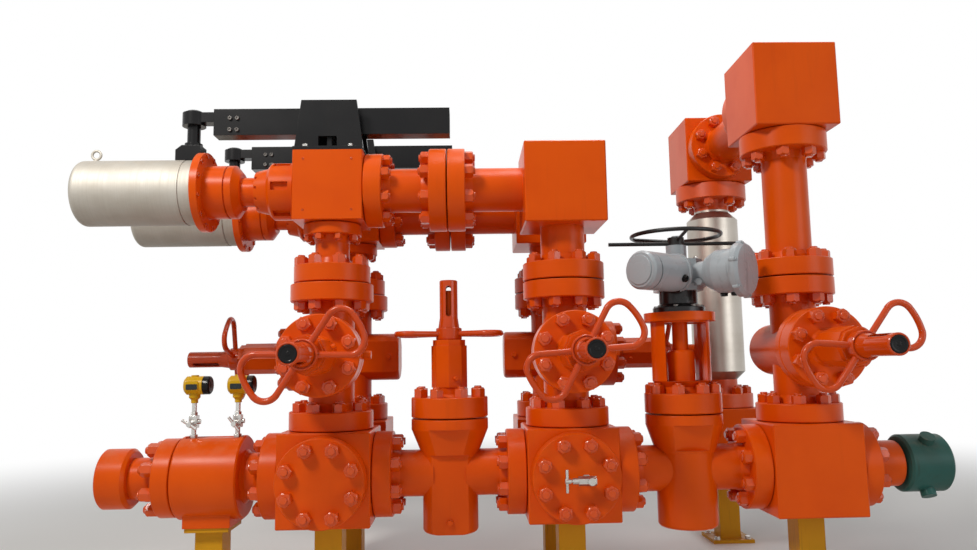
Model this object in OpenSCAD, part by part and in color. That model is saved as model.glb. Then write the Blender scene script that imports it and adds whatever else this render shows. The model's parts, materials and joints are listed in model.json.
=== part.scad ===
// Twin-leg choke manifold. Two parallel legs, one behind the other, each rise from the run
// at the inlet column, pass through a choke and drop again at the centre column. The outlet
// column rises to a crossover that leads to a vertical flow meter at the back.
// X runs along the flow, from inlet to outlet. Y runs from the front leg to the rear leg.
// Z is up, from the ground under the post of the centre block.

/* [Layout] */
// Height of the run's centre line above the ground
line_z = 480; // [440:5:560]
// Distance between neighbouring columns along the run
column_pitch = 902; // [890:1:960]
// Distance from the front leg to the rear leg
leg_pitch = 530; // [525:5:600]
// Distance from the front leg to the flow meter
meter_y = 921; // [916:5:981]
// Height of the chokes and of the elbow blocks
choke_z = 1571; // [1560:1:1620]
// Height of the crossover between the top blocks
crossover_z = 1945; // [1930:5:2010]

/* [Blocks] */
// Width of the cubes in the run
block_w = 336; // [330:1:344]
// Width of the elbow cubes downstream of the chokes
elbow_w = 312; // [300:1:320]
// Width of the two cubes of the crossover
top_block_w = 328; // [320:1:334]
// Width of the rounded edges of every cube
block_edge = 4; // [2:0.5:8]

/* [Flanges] */
// Outer diameter of the main flanges
flange_od = 316; // [310:1:322]
// Thickness of the main flanges
flange_t = 70; // [60:1:76]
// Diameter of the raised faces that meet
face_od = 190; // [180:1:200]
// Height of a raised face, half the groove between two rims
face_h = 2.5; // [1:0.5:4]
// Width of the chamfer round every rim
rim_chamfer = 3; // [1:0.5:5]
// Outer diameter of the larger flange pair after each choke
outlet_flange_od = 326; // [318:1:334]
// Outer diameter of the flange under each choke body
choke_flange_od = 222; // [214:1:236]
// Thickness of the flange under each choke body
choke_flange_t = 48; // [40:1:60]
// Outer diameter of the flange at the lower end of each choke's inlet spool
choke_foot_od = 292; // [284:1:300]
// Outer diameter of the flange on the outlet side of each choke
choke_side_od = 290; // [280:1:300]
// Outer diameter of the flanges at the crossover and the flow meter
crossover_flange_od = 332; // [322:1:340]
// Thickness of the flanges at the crossover and the flow meter
crossover_flange_t = 80; // [70:1:86]

/* [Pipe] */
// Outer diameter of the spools
neck_od = 172; // [164:1:180]
// Outer diameter of the inlet spool under each choke
choke_neck_od = 132; // [120:1:140]
// Length of the taper from a flange to its neck
hub_len = 30; // [20:1:40]
// How much a flange's hub is wider than its neck
hub_step = 18; // [10:1:22]
// Bore of the open ends
flow_bore = 103; // [90:1:110]

/* [Gate valves] */
// Length of the column valves over their flanges
column_valve_len = 554; // [546:1:570]
// Radius of the body below the flow line
body_r = 104; // [98:1:108]
// Depth of the body below the flow line
body_drop = 216; // [205:1:222]
// Half the width of the body across its two milled sides
body_flat = 79; // [74:1:84]
// Distance from the flow line to the top of the milled sides
flat_top = 72; // [64:1:80]
// Half the width between the shoulder's facets, at their lower edge
facet_low = 96; // [90:1:100]
// Half the width between the shoulder's facets, at their upper edge
facet_high = 126; // [120:1:132]
// Radius of the rounded edge at the closed end of the body
body_edge = 14; // [8:1:20]
// Distance from the flow line to the grease plug
plug_z = 185; // [180:1:190]
// Radius of the grease plug over its corners
plug_r = 16; // [12:1:18]
// Length of the grease plug
plug_len = 28; // [20:1:34]
// Distance from the flow line to the vent plug, along the stem
vent_z = -172; // [-180:1:-150]
// Radius of the vent plug over its corners
vent_r = 12; // [9:1:14]
// Length of the vent plug
vent_len = 14; // [8:1:18]
// Distance from the flow line to the start of the body's shoulder
shoulder_start = 62; // [50:1:72]
// Distance from the flow line to the top of the body's shoulder
shoulder_top = 164; // [150:1:170]
// Outer diameter of the bonnet joint
bonnet_od = 292; // [284:1:298]
// Distance from the flow line to the bonnet joint
bonnet_joint = 206; // [196:1:212]
// Thickness of the bonnet's flange
bonnet_t = 77; // [70:1:80]
// Radius of the tower over the corners of its eight sides
tower_r = 68.5; // [64:0.5:72]
// Radius of the round neck under the tower
tower_neck_r = 61; // [56:1:62]
// Length of the round neck under the tower
tower_neck_len = 36; // [20:1:44]
// Distance from the flow line to the top of the tower
tower_top = 478; // [460:1:484]
// Height of the eight-sided bearing cap on the tower
cap_h = 22; // [16:1:26]
// Radius of the spindle that carries the handwheel
spindle_r = 25; // [20:1:28]
// Radial running clearance round the spindle
spindle_clearance = 0.08; // [0.02:0.01:0.1]
// Radius of the valve stem inside the protector
stem_r = 15; // [12:1:18]

/* [Handwheels] */
// Outer reach of a handwheel's loops
wheel_reach = 212; // [190:1:220]
// Diameter of the bent rod
wheel_rod = 22; // [18:1:26]
// Bend radius at the outer corners of a loop
wheel_bend = 46; // [36:1:56]
// How much thicker the rod is in a bend
bend_swell = 1; // [0.6:0.1:2]
// Half the angle between the two spokes of a loop
wheel_half_angle = 29; // [24:1:34]
// Radius of the handwheel hub
wheel_hub_r = 50; // [44:1:54]
// Length of the handwheel hub
wheel_hub_len = 46; // [40:1:54]
// Outer radius of the stem protector
protector_r = 35; // [32:1:38]
// Inner radius of the stem protector
protector_bore_r = 29; // [26:1:30]
// Distance from the flow line to the end of the stem protector
protector_end = 731; // [700:1:750]
// Length of the cone from the hub to the protector's tube
flare_len = 40; // [30:1:50]
// Width of the sight slots in the protector
slot_w = 20; // [14:1:24]
// Length of the sight slots in the protector
slot_len = 118; // [90:2:124]
// Depth of the ring groove in the hub's face
hub_groove = 3; // [2:0.5:5]
// Running gap under the hub
hub_gap = 0.4; // [0.3:0.1:1]
// Angle of the front inlet handwheel from the horizontal
inlet_wheel_angle = 28; // [0:1:60]
// Angle of the front centre handwheel from the horizontal
centre_wheel_angle = 33; // [0:1:60]
// Angle of the front outlet handwheel from the horizontal
outlet_wheel_angle = 25; // [0:1:60]
// Angle of the run valve's handwheel from the run
run_wheel_angle = 0; // [-30:1:30]
// Angle of the rear inlet handwheel from the vertical, towards the rear
rear_inlet_wheel_angle = -45; // [-60:1:30]
// Angle of the rear centre handwheel from the vertical, towards the rear
rear_centre_wheel_angle = 12; // [0:1:30]

/* [Chokes] */
// Width of the choke body along the flow
choke_w = 264; // [250:1:280]
// Height of the choke body
choke_h = 268; // [256:1:280]
// Radius of the union nut on the choke's bonnet
choke_nut_r = 112; // [104:1:118]
// Length of the union nut
choke_nut_len = 107; // [96:1:112]
// Radius of the gland ring beyond the union nut
gland_r = 92; // [84:1:98]
// Radius of the small end of the gland ring
gland_end_r = 80; // [74:1:84]
// Width of the spanner notches in the union nut
notch_w = 32; // [26:1:36]
// Depth of the spanner notches
notch_depth = 18; // [12:1:22]
// Number of teeth round the end of the gland ring
gland_teeth = 12; // [8:1:14]
// Length of the gland ring
gland_len = 53; // [44:1:58]
// Radius of the choke's neck
choke_stem_r = 57; // [50:1:62]
// Length of the choke's neck
choke_stem_len = 56; // [46:1:66]
// Radius of the coupling housing
coupling_r = 104; // [96:1:110]
// Radius of the coupling housing where its cone starts
coupling_cone_r = 74; // [66:1:84]
// Length of the disc at the start of the coupling housing
coupling_disc_len = 49; // [40:1:56]
// Length of the coupling housing beyond its disc
coupling_len = 85; // [76:1:96]
// Radius of the actuator's flange
actuator_flange_r = 155; // [146:1:160]
// Thickness of the actuator's flange
actuator_flange_t = 28; // [20:1:34]
// Radius of the actuator's cylinder
actuator_r = 128; // [120:1:134]
// Length of the actuator's cylinder
actuator_len = 464; // [430:1:480]
// Radius of the rounded end of the actuator
actuator_edge = 22; // [12:1:30]
// Distance from the actuator's flange to its lifting eye
eye_x = 416; // [380:1:430]
// Radius of the lifting eye's ring, at the middle of its rod
eye_r = 17; // [14:1:20]
// Diameter of the lifting eye's rod
eye_rod = 10; // [8:1:12]

/* [Choke supports] */
// Width of the plates at the saddle
saddle_w = 264; // [250:1:270]
// Width of the plates at their top
saddle_top_w = 212; // [190:1:220]
// Height of the plates over the saddle
cheek_h = 190; // [182:1:200]
// Distance from the top of the plates to the top of the beam
beam_inset = 10; // [6:1:16]
// Thickness of the plates and of the web
cheek_t = 18; // [12:1:22]
// Distance from the edge of the saddle to the plates, where the bolts stand
cheek_inset = 27; // [22:1:32]
// Thickness of the saddle
saddle_t = 14; // [10:1:18]
// Height of the beam
beam_h = 106; // [90:1:114]
// Width of the beam
beam_w = 70; // [60:1:80]
// Wall of the beam
beam_wall = 8; // [5:1:10]
// Length of the beam towards the actuator, from the column
beam_left = 462; // [440:1:480]
// Length of the beam towards the outlet, from the column
beam_right = 463; // [430:1:480]
// Height of the tongue
tongue_h = 40; // [34:1:44]
// Radius of the eye at the end of the tongue
tongue_eye_r = 45; // [38:1:48]
// Height of the eye
tongue_eye_h = 52; // [44:1:58]
// Height of the rod's foot over the actuator
rod_foot_h = 56; // [46:1:64]
// Length of the rod's foot along the actuator
rod_foot_len = 96; // [84:2:100]
// Width of the rod's foot
rod_foot_w = 72; // [64:2:80]
// Radius of the suspension rod
rod_r = 25; // [22:1:28]
// Distance from the middle of the foot to the rod
rod_offset = 10; // [0:1:12]
// Radius of the rod's cap
rod_cap_r = 37; // [32:1:42]
// Height of the rod's cap
rod_cap_h = 10; // [6:1:14]

/* [Inlet] */
// Outer diameter of the gauge spool
gauge_od = 305; // [298:1:311]
// Length of the gauge spool's thick part
gauge_len = 240; // [220:1:260]
// Distance from the inlet block to the gauge spool's thick part
gauge_neck_len = 148; // [140:1:160]
// Length of the inlet adapter's flange
adapter_flange_t = 66; // [60:1:72]
// Length of the bare neck between the adapter's flange and its collar
adapter_neck_len = 109; // [96:1:116]
// Length of the adapter's collar
adapter_collar_len = 107; // [96:1:120]
// Outer diameter of the adapter's collar
adapter_collar_od = 221; // [210:1:230]
// Depth of the bores at the open ends
end_bore_depth = 160; // [120:5:180]
// Depth of the two flats of the gauge spool
gauge_flat = 8; // [6:1:12]
// Length of the foot pad welded under the gauge spool
pad_len = 172; // [160:2:180]
// Thickness of the foot pad
pad_t = 27; // [20:1:32]
// Radius of the needle valves' spindles
needle_r = 5; // [4:0.5:6]
// Height of the tap spindles over the gauge spool's flat
tap_h = 54; // [50:1:60]
// Width of the tap valves' square bodies
tap_w = 30; // [26:1:34]
// Width of the T bars of the pressure taps
tap_bar = 64; // [56:2:72]
// Tilt of the left T bar
left_bar_tilt = 33; // [0:1:60]
// Tilt of the right T bar
right_bar_tilt = 52; // [0:1:60]
// Distance from the blind flange to the axis of the bleed valve
bleed_reach = 52; // [48:1:60]
// Distance between the two pressure transmitters
gauge_pitch = 165; // [140:5:170]
// Radius of a transmitter's head
head_r = 35; // [32:1:38]
// Length of a transmitter's head
head_len = 71; // [66:1:78]
// Length of the cover on the end of a transmitter's head
cover_len = 26; // [20:1:30]
// Height of the head's axis over the gauge spool's flat
head_h = 198; // [190:1:206]

/* [Outlet] */
// Outer radius of the union nut
union_r = 108; // [102:1:112]
// Length of the union nut
union_len = 165; // [150:1:180]
// Radius of the union nut's lugs
lug_r = 27; // [24:1:30]
// Reach of the union nut's lugs from its axis
lug_reach = 131; // [124:1:138]
// Thickness of the union nut's inner web
union_web = 25; // [20:1:27]
// Distance from the sub's barrel to the union nut
union_gap = 13; // [10:1:18]
// Distance from the union nut's web to the shoulder that keeps it
union_play = 0.4; // [0.3:0.1:1]
// Length of the shoulder that keeps the union nut
shoulder_len = 42; // [36:1:50]
// Length of the outlet sub's barrel
barrel_len = 122; // [110:1:140]
// Radius of the sub's tail inside the union nut
tail_r = 62; // [58:1:66]
// Radius of the shoulder that holds the union nut
shoulder_r = 84; // [78:1:86]

/* [Electric actuator] */
// Radius of the body under the electric actuator, below the flow line
electric_body_r = 112; // [108:1:116]
// Radius of the open yoke over the valve
yoke_r = 112; // [104:1:118]
// Wall of the yoke
yoke_wall = 26; // [20:1:30]
// Height of the narrow foot of the yoke over its flange
yoke_foot_h = 46; // [44:1:56]
// Width of the windows in the front and the back of the yoke
window_w = 158; // [140:2:160]
// Height of the band over the windows, under the top plate
window_head = 6; // [4:1:20]
// Radius of the gland in the yoke
yoke_gland_r = 52; // [46:1:56]
// Distance from the flow line to the top of the gland
yoke_gland_top = 447; // [420:1:470]
// Radius of the stem in the yoke
yoke_stem_r = 30; // [24:1:34]
// Distance from the flow line to the top of the yoke
yoke_top = 557; // [540:1:570]
// Thickness of the yoke's top plate
yoke_plate_t = 34; // [26:1:38]
// Radius of the yoke's top plate
yoke_plate_r = 136; // [128:1:142]
// Height of the actuator's centre over the yoke
drive_rise = 148; // [140:1:160]
// Radius of the round seat of the gear case
drive_seat_r = 100; // [92:1:104]
// Thickness of the round seat of the gear case
drive_seat_t = 20; // [14:1:24]
// Radius of the neck between the seat and the gear case
drive_neck_r = 74; // [68:1:78]
// Radius of the motor
motor_r = 72; // [64:1:78]
// Reach of the motor from the gear case's axis
motor_reach = 285; // [270:1:300]
// Distance from the gear case's axis to the inner end of the motor
motor_start = 70; // [60:1:90]
// Distance between the axes of the motor and of the gear case
worm_offset = 45; // [38:1:52]
// Width of the gear case
drive_case_w = 170; // [156:2:180]
// Height of the gear case
drive_case_h = 122; // [112:2:130]
// Direction in which the motor points, from the run towards the rear
motor_angle = 218; // [210:1:230]
// Direction in which the switch case points
switch_angle = -43; // [-55:1:-38]
// Radius of the switch case's end disc
switch_disc_r = 102; // [94:1:108]
// Reach of the switch case from the gear case's axis
switch_reach = 288; // [270:2:300]
// Radius of the ring of the actuator's handwheel
drive_wheel_r = 180; // [170:5:200]
// Diameter of the ring's rod
drive_wheel_rod = 16; // [12:1:20]
// Height of the ring over the middle of its hub
drive_wheel_dish = 24; // [18:1:30]
// Length of the hub of the actuator's handwheel
drive_hub_len = 32; // [28:1:36]
// Reach of the straight bar from the hub's centre
drive_bar_reach = 268; // [240:2:290]
// Radius of the spindle under the actuator's handwheel
drive_spindle_r = 16; // [14:1:20]

/* [Flow meter] */
// Radius of the flow meter's case
meter_r = 127; // [118:1:132]
// Outer diameter of the meter's upper flange
meter_flange_od = 350; // [332:1:356]
// Distance from the meter's lower flange to its case
meter_case_low = 70; // [60:1:90]
// Distance from the meter's upper flange to its case
meter_case_high = 60; // [50:1:80]
// Length of the cones at the ends of the meter's case
meter_cone = 40; // [30:1:50]

/* [Posts] */
// Width of the square posts
post_w = 100; // [90:1:120]
// Wall of the posts
post_wall = 6; // [4:1:10]
// Width of the base plates
base_w = 200; // [190:5:220]
// Thickness of the base plates and of the seat plates
base_t = 16; // [12:1:20]
// Distance between the anchor holes of a base plate
anchor_pitch = 150; // [140:5:160]
// Radius of the anchor holes
anchor_r = 9; // [7:0.5:11]

/* [Hidden] */
$fn = 96;

inlet_x = -column_pitch;
outlet_x = column_pitch;
run_valve_len = column_pitch - block_w;
run_valve_x = -column_pitch / 2;
electric_x = column_pitch / 2;
block_top = line_z + block_w / 2;
block_bottom = line_z - block_w / 2;
valve_z = block_top + column_valve_len / 2;
valve_top = block_top + column_valve_len;
choke_bottom = choke_z - choke_h / 2;
choke_top = choke_z + choke_h / 2;
beam_z = choke_top + saddle_t + cheek_h - beam_h - beam_inset + beam_h / 2;
top_block_bottom = crossover_z - top_block_w / 2;
wheel_hub_base = tower_top + cap_h + hub_gap;
wheel_plane = wheel_hub_base + wheel_hub_len / 2;
hub_top = wheel_hub_base + wheel_hub_len;
nut_end = choke_w / 2 + choke_nut_len;
gland_end = nut_end + gland_len;
choke_stem_end = gland_end + choke_stem_len;
disc_end = choke_stem_end + coupling_disc_len;
coupling_end = disc_end + coupling_len;
flange_end = coupling_end + actuator_flange_t;
gauge_right = inlet_x - block_w / 2 - gauge_neck_len;
gauge_left = gauge_right - gauge_len;
gauge_x = (gauge_left + gauge_right) / 2;
gauge_flat_z = line_z + gauge_od / 2 - gauge_flat;
pad_top = line_z - gauge_od / 2 + gauge_flat;
rod_x = flange_end + 1 + rod_foot_len / 2 - rod_offset;
blind_y = -block_w / 2;
sub_x = outlet_x + block_w / 2;
sub_barrel = flange_t + barrel_len;
sub_shoulder = sub_barrel + union_gap + union_web + union_play;
union_x = sub_x + sub_barrel + union_gap;
drive_z = line_z + yoke_top + yoke_plate_t + drive_rise;
case_low = drive_z - 64;
case_top = case_low + drive_case_h;
drive_neck_top = case_top + 60;
bleed_y = blind_y - flange_t - bleed_reach;

// Orientation of a valve whose flow runs up a column and whose stem points to the front
module stem_to_front() {
    rotate([90, 0, 0]) rotate([0, 0, 90]) children();
}

// The same with the stem towards the inlet end
module stem_to_left() {
    rotate([0, -90, 0]) children();
}

// The same with the stem towards the outlet end
module stem_to_right() {
    rotate([0, 90, 0]) children();
}

// A flange with its raised face on z = 0 and its body above it, with a tapered hub
module flange(od, t, neck) {
    hub_r = neck / 2 + hub_step / 2;
    rotate_extrude()
        polygon([
            [0, 0], [face_size(od) / 2, 0], [face_size(od) / 2, face_h],
            [od / 2 - rim_chamfer, face_h], [od / 2, face_h + rim_chamfer],
            [od / 2, t - rim_chamfer], [od / 2 - rim_chamfer, t],
            [hub_r, t], [neck / 2, t + hub_len], [0, t + hub_len]
        ]);
}

// A raised face never comes closer to the rim than the main flanges' one does
function face_size(od) = min(face_od, od - (flange_od - face_od));

// A straight spool on the Z axis with a flange at each end
module spool(len, od_a, t_a, od_b, t_b, neck) {
    flange(od_a, t_a, neck);
    cylinder(d = neck, h = len - 1);
    translate([0, 0, len]) mirror([0, 0, 1]) flange(od_b, t_b, neck);
}

// A cube centred on the origin with chamfered edges along all three axes
module forged_block(w) {
    e = block_edge;
    intersection() {
        linear_extrude(w, center = true) chamfered_square(w, e);
        rotate([90, 0, 0]) linear_extrude(w, center = true) chamfered_square(w, e);
        rotate([0, 90, 0]) linear_extrude(w, center = true) chamfered_square(w, e);
    }
}

module chamfered_square(w, e) {
    h = w / 2;
    polygon([
        [-h + e, -h], [h - e, -h], [h, -h + e], [h, h - e],
        [h - e, h], [-h + e, h], [-h, h - e], [-h, -h + e]
    ]);
}

// Gate valve body: flow along X, stem along +Z. A milled body has two flat sides. Facets cut
// the shoulder above them, a grease plug stands on the joint and a vent plug on one flat
module valve_body(len, barrel_r, milled) {
    neck_start = 60;
    difference() {
        rotate_extrude()
            polygon(concat(
                [[0, -body_drop]],
                [for (a = [-90:15:0]) [
                    barrel_r - body_edge + body_edge * cos(a),
                    -body_drop + body_edge + body_edge * sin(a)
                ]],
                [
                    [barrel_r, shoulder_start], [bonnet_od / 2, shoulder_top],
                    [bonnet_od / 2, bonnet_joint - face_h - rim_chamfer],
                    [bonnet_od / 2 - rim_chamfer, bonnet_joint - face_h],
                    [face_size(bonnet_od) / 2, bonnet_joint - face_h],
                    [face_size(bonnet_od) / 2, bonnet_joint], [0, bonnet_joint]
                ]
            ));
        for (side = [0, 1]) mirror([0, side, 0])
            rotate([90, 0, 90]) linear_extrude(2 * bonnet_od, center = true)
            polygon([
                [milled ? body_flat : facet_low, milled ? -body_drop - 1 : flat_top],
                [bonnet_od, milled ? -body_drop - 1 : flat_top],
                [bonnet_od, shoulder_top + 3], [facet_high, shoulder_top + 3],
                [facet_low, flat_top], [milled ? body_flat : facet_low + 1, flat_top]
            ]);
    }
    for (side = [0, 1]) mirror([side, 0, 0])
        translate([len / 2, 0, 0]) rotate([0, -90, 0]) {
            flange(flange_od, flange_t, neck_od);
            cylinder(d = neck_od, h = len / 2 - neck_start);
        }
    translate([0, 0, plug_z]) rotate([-90, 0, 0])
        cylinder(r = plug_r, h = bonnet_od / 2 + plug_len, $fn = 6);
    if (milled)
        translate([0, 0, vent_z]) rotate([90, 0, 0])
        cylinder(r = vent_r, h = body_flat + vent_len, $fn = 6);
}

// Bonnet with its tower, bearing cap, spindle and rising stem
module valve_bonnet() {
    base = bonnet_joint;
    top = base + bonnet_t;
    rotate_extrude()
        polygon([
            [0, base], [face_size(bonnet_od) / 2, base],
            [face_size(bonnet_od) / 2, base + face_h],
            [bonnet_od / 2 - rim_chamfer, base + face_h],
            [bonnet_od / 2, base + face_h + rim_chamfer],
            [bonnet_od / 2, top - rim_chamfer], [bonnet_od / 2 - rim_chamfer, top],
            [tower_neck_r + 8, top], [tower_neck_r, top + 10],
            [tower_neck_r, top + tower_neck_len + 1], [0, top + tower_neck_len + 1]
        ]);
    translate([0, 0, top + tower_neck_len])
        cylinder(r = tower_r, h = tower_top - top - tower_neck_len, $fn = 8);
    translate([0, 0, tower_top]) cylinder(r = tower_r - 6, h = cap_h, $fn = 8);
    translate([0, 0, tower_top]) cylinder(r = spindle_r, h = cap_h + wheel_hub_len - 2);
    translate([0, 0, tower_top]) cylinder(r = stem_r, h = protector_end - tower_top - 40);
    translate([0, 0, top + tower_neck_len + 34]) rotate([0, 0, 22.5]) rotate([90, 0, 0])
        cylinder(r = 9, h = tower_r + 12, $fn = 6);
}

// One closed loop of bent rod: two spokes, two corner bends and an outer bow. The rod
// swells a little where it is bent, so the bends are thicker than the straight stretches
module wheel_loop() {
    reach = wheel_reach - wheel_rod / 2;
    inset = reach - wheel_bend;
    turn = asin(wheel_bend / inset);
    spoke = sqrt(inset * inset - wheel_bend * wheel_bend);
    outer = wheel_half_angle - turn;
    lap = 3;
    spoke_start = (spindle_r + wheel_hub_r) / 2;
    lap_angle = lap / reach * 180 / PI;
    rotate([0, 0, -outer - lap_angle]) rotate_extrude(angle = 2 * (outer + lap_angle))
        translate([reach, 0]) circle(d = wheel_rod - bend_swell, $fn = 24);
    for (side = [-1, 1]) {
        rotate([0, 0, side * wheel_half_angle]) rotate([0, 90, 0])
            translate([0, 0, spoke_start])
            cylinder(d = wheel_rod - bend_swell, h = spoke + lap - spoke_start, $fn = 24);
        rotate([0, 0, side * outer]) translate([inset, 0, 0])
            rotate([0, 0, side > 0 ? 0 : -90 - turn])
            rotate_extrude(angle = 90 + turn)
            translate([wheel_bend, 0]) circle(d = wheel_rod, $fn = 24);
    }
}

// Handwheel with its hub and slotted stem protector, about the stem axis
module valve_handwheel(angle) {
    bore = spindle_r + spindle_clearance;
    difference() {
        union() {
            translate([0, 0, wheel_plane]) rotate([0, 0, angle])
                for (turn = [0, 180]) rotate([0, 0, turn]) wheel_loop();
            rotate_extrude()
                polygon([
                    [bore, wheel_hub_base], [wheel_hub_r - 3, wheel_hub_base],
                    [wheel_hub_r, wheel_hub_base + 3], [wheel_hub_r, hub_top - 3],
                    [wheel_hub_r - 3, hub_top], [protector_r + 9, hub_top],
                    [protector_r + 9, hub_top - hub_groove], [protector_r + 6, hub_top - hub_groove],
                    [protector_r + 6, hub_top], [protector_r, hub_top + flare_len],
                    [protector_r, protector_end - 3], [protector_r - 3, protector_end],
                    [protector_bore_r, protector_end], [protector_bore_r, protector_end - 3],
                    [0, protector_end - 3], [0, protector_end - 14],
                    [protector_bore_r, protector_end - 14], [protector_bore_r, hub_top - 1],
                    [bore, hub_top - 1]
                ]);
        }
        for (turn = [0, 180]) rotate([0, 0, angle + 90 + turn])
            translate([0, 0, hub_top + flare_len + 4]) rotate([90, 0, 90])
            linear_extrude(2 * protector_r) sight_slot();
    }
}

// Round-ended slot that starts at the origin and runs along Y
module sight_slot() {
    r = slot_w / 2;
    translate([-r, r]) square([slot_w, slot_len - slot_w]);
    for (y = [r, slot_len - r]) translate([0, y]) circle(r = r, $fn = 48);
}

// Places a column valve part in the front leg
module at_front(x) {
    translate([x, 0, valve_z]) stem_to_front() children();
}

module inlet_adapter() {
    neck = neck_od - 20;
    collar = adapter_collar_od / 2;
    collar_base = adapter_flange_t + adapter_neck_len;
    color("orangered")
    translate([gauge_left, 0, line_z]) rotate([0, -90, 0])
    difference() {
        union() {
            flange(choke_side_od, adapter_flange_t, neck);
            cylinder(d = neck, h = collar_base);
            translate([0, 0, collar_base]) rotate_extrude()
                polygon([
                    [0, 0], [collar - 12, 0], [collar, 12],
                    [collar, adapter_collar_len - 5], [collar - 5, adapter_collar_len],
                    [0, adapter_collar_len]
                ]);
        }
        translate([0, 0, collar_base + adapter_collar_len - end_bore_depth])
            cylinder(d = flow_bore, h = end_bore_depth + 1);
    }
}

module gauge_spool() {
    edge = 6;
    color("orangered")
    difference() {
        union() {
            translate([gauge_left, 0, line_z]) rotate([0, 90, 0]) {
                rotate_extrude()
                    polygon([
                        [0, 0], [face_od / 2, 0], [face_od / 2, face_h],
                        [gauge_od / 2 - edge, face_h], [gauge_od / 2, face_h + edge],
                        [gauge_od / 2, gauge_len - edge], [gauge_od / 2 - edge, gauge_len],
                        [neck_od / 2 + 14, gauge_len], [neck_od / 2, gauge_len + 14],
                        [neck_od / 2, gauge_len + gauge_neck_len - 1],
                        [0, gauge_len + gauge_neck_len - 1]
                    ]);
                translate([0, 0, gauge_len + gauge_neck_len]) mirror([0, 0, 1])
                    flange(flange_od, flange_t, neck_od);
            }
            translate([gauge_x - pad_len / 2, -pad_len / 2, pad_top - pad_t])
                cube([pad_len, pad_len, pad_t + 30]);
        }
        translate([gauge_x - gauge_len * 0.42, -40, gauge_flat_z])
            cube([gauge_len * 0.84, 80, 40]);
    }
}

// Valve blocks of the two pressure taps, on the flat of the gauge spool
module gauge_valves() {
    color("silver")
    for (side = [-1, 1]) translate([gauge_x + side * gauge_pitch / 2, 0, gauge_flat_z]) {
        cylinder(r = 15, h = 14, $fn = 6);
        translate([0, 0, 14]) cylinder(r = 9, h = tap_h - tap_w / 2 - 14);
        translate([-tap_w / 2, -tap_w / 2, tap_h - tap_w / 2]) cube([tap_w, tap_w, tap_w + 16]);
        translate([0, -tap_w / 2, tap_h]) rotate([90, 0, 0]) cylinder(r = 13, h = 9, $fn = 6);
        translate([0, -tap_w / 2 - 9, tap_h]) rotate([90, 0, 0]) cylinder(r = 10, h = 7);
        translate([0, -tap_w / 2 - 16, tap_h]) rotate([90, 0, 0]) cylinder(r = needle_r, h = 22);
        translate([tap_w / 2, 0, tap_h + 8]) rotate([0, 90, 0]) cylinder(r = 9, h = 10, $fn = 6);
        translate([0, 0, tap_h + tap_w / 2 + 16]) cylinder(r = 13, h = 12, $fn = 6);
        translate([0, 0, tap_h + tap_w / 2 + 28]) cylinder(r = 9, h = head_h - head_r - tap_h - 74);
    }
}

// A T bar on the needle of one pressure tap
module gauge_handle(side, tilt) {
    color("gainsboro")
    translate([gauge_x + side * gauge_pitch / 2, -tap_w / 2 - 23, gauge_flat_z + tap_h])
        rotate([90, 0, 0]) rotate([0, 0, -tilt]) t_bar(tap_bar);
}

module pressure_transmitters() {
    stub = 31;
    color("gold")
    for (side = [-1, 1]) translate([gauge_x + side * gauge_pitch / 2, 0, gauge_flat_z + head_h]) {
        translate([-head_len / 2, 0, 0]) rotate([0, 90, 0]) rotate_extrude()
            polygon([
                [0, 0], [head_r - 8, 0], [head_r, 8], [head_r, head_len],
                [head_r - 3, head_len], [head_r - 3, head_len + cover_len - 4],
                [head_r - 7, head_len + cover_len], [0, head_len + cover_len]
            ]);
        rotate([90, 0, 0]) linear_extrude(head_r + 4) window_shape(46, 33, 6);
        translate([0, 0, -head_r - stub]) rotate_extrude()
            polygon([
                [0, 0], [13, 0], [13, 12], [21, 20], [21, stub + 10], [0, stub + 10]
            ]);
        translate([0, 0, head_r - 6]) cylinder(r = 14, h = 10);
    }
}

// Rectangle with rounded corners, centred on the origin
module window_shape(w, h, r) {
    square([w, h - 2 * r], center = true);
    square([w - 2 * r, h], center = true);
    for (x = [-1, 1], y = [-1, 1])
        translate([x * (w / 2 - r), y * (h / 2 - r)]) circle(r = r, $fn = 32);
}

module run_block(x, y) {
    color("orangered") translate([x, y, line_z]) forged_block(block_w);
}

// Short flanged spools between the front and rear blocks
module link_spools() {
    gap = leg_pitch - block_w;
    color("orangered")
    for (x = [inlet_x, 0]) translate([x, block_w / 2, line_z]) rotate([-90, 0, 0])
        spool(gap, flange_od, gap * 0.31, flange_od, gap * 0.31, neck_od);
}

module blind_flanges() {
    color("orangered")
    for (x = [inlet_x, 0]) translate([x, blind_y, line_z]) rotate([90, 0, 0])
        rotate_extrude()
        polygon([
            [0, 0], [face_od / 2, 0], [face_od / 2, face_h],
            [flange_od / 2 - rim_chamfer, face_h], [flange_od / 2, face_h + rim_chamfer],
            [flange_od / 2, flange_t - rim_chamfer], [flange_od / 2 - rim_chamfer, flange_t],
            [0, flange_t]
        ]);
}

// Needle valve screwed into the centre blind flange, with its spindle towards the inlet
module bleed_valve() {
    color("silver") translate([30, bleed_y, line_z]) {
        rotate([-90, 0, 0]) cylinder(r = 10, h = bleed_reach);
        translate([0, bleed_reach, 0]) rotate([90, 0, 0]) cylinder(r = 17, h = 12, $fn = 6);
        translate([28, 0, 0]) rotate([0, -90, 0]) cylinder(r = 17, h = 62, $fn = 6);
        translate([10, 0, 0]) rotate([90, 0, 0]) cylinder(r = 13, h = 26);
        translate([-34, 0, 0]) rotate([0, -90, 0]) cylinder(r = 11, h = 20);
        translate([-54, 0, 0]) rotate([0, -90, 0]) cylinder(r = needle_r, h = 22);
    }
}

module bleed_handle() {
    color("gainsboro") translate([-30, bleed_y, line_z]) rotate([0, -90, 0]) t_bar(78);
}

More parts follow.
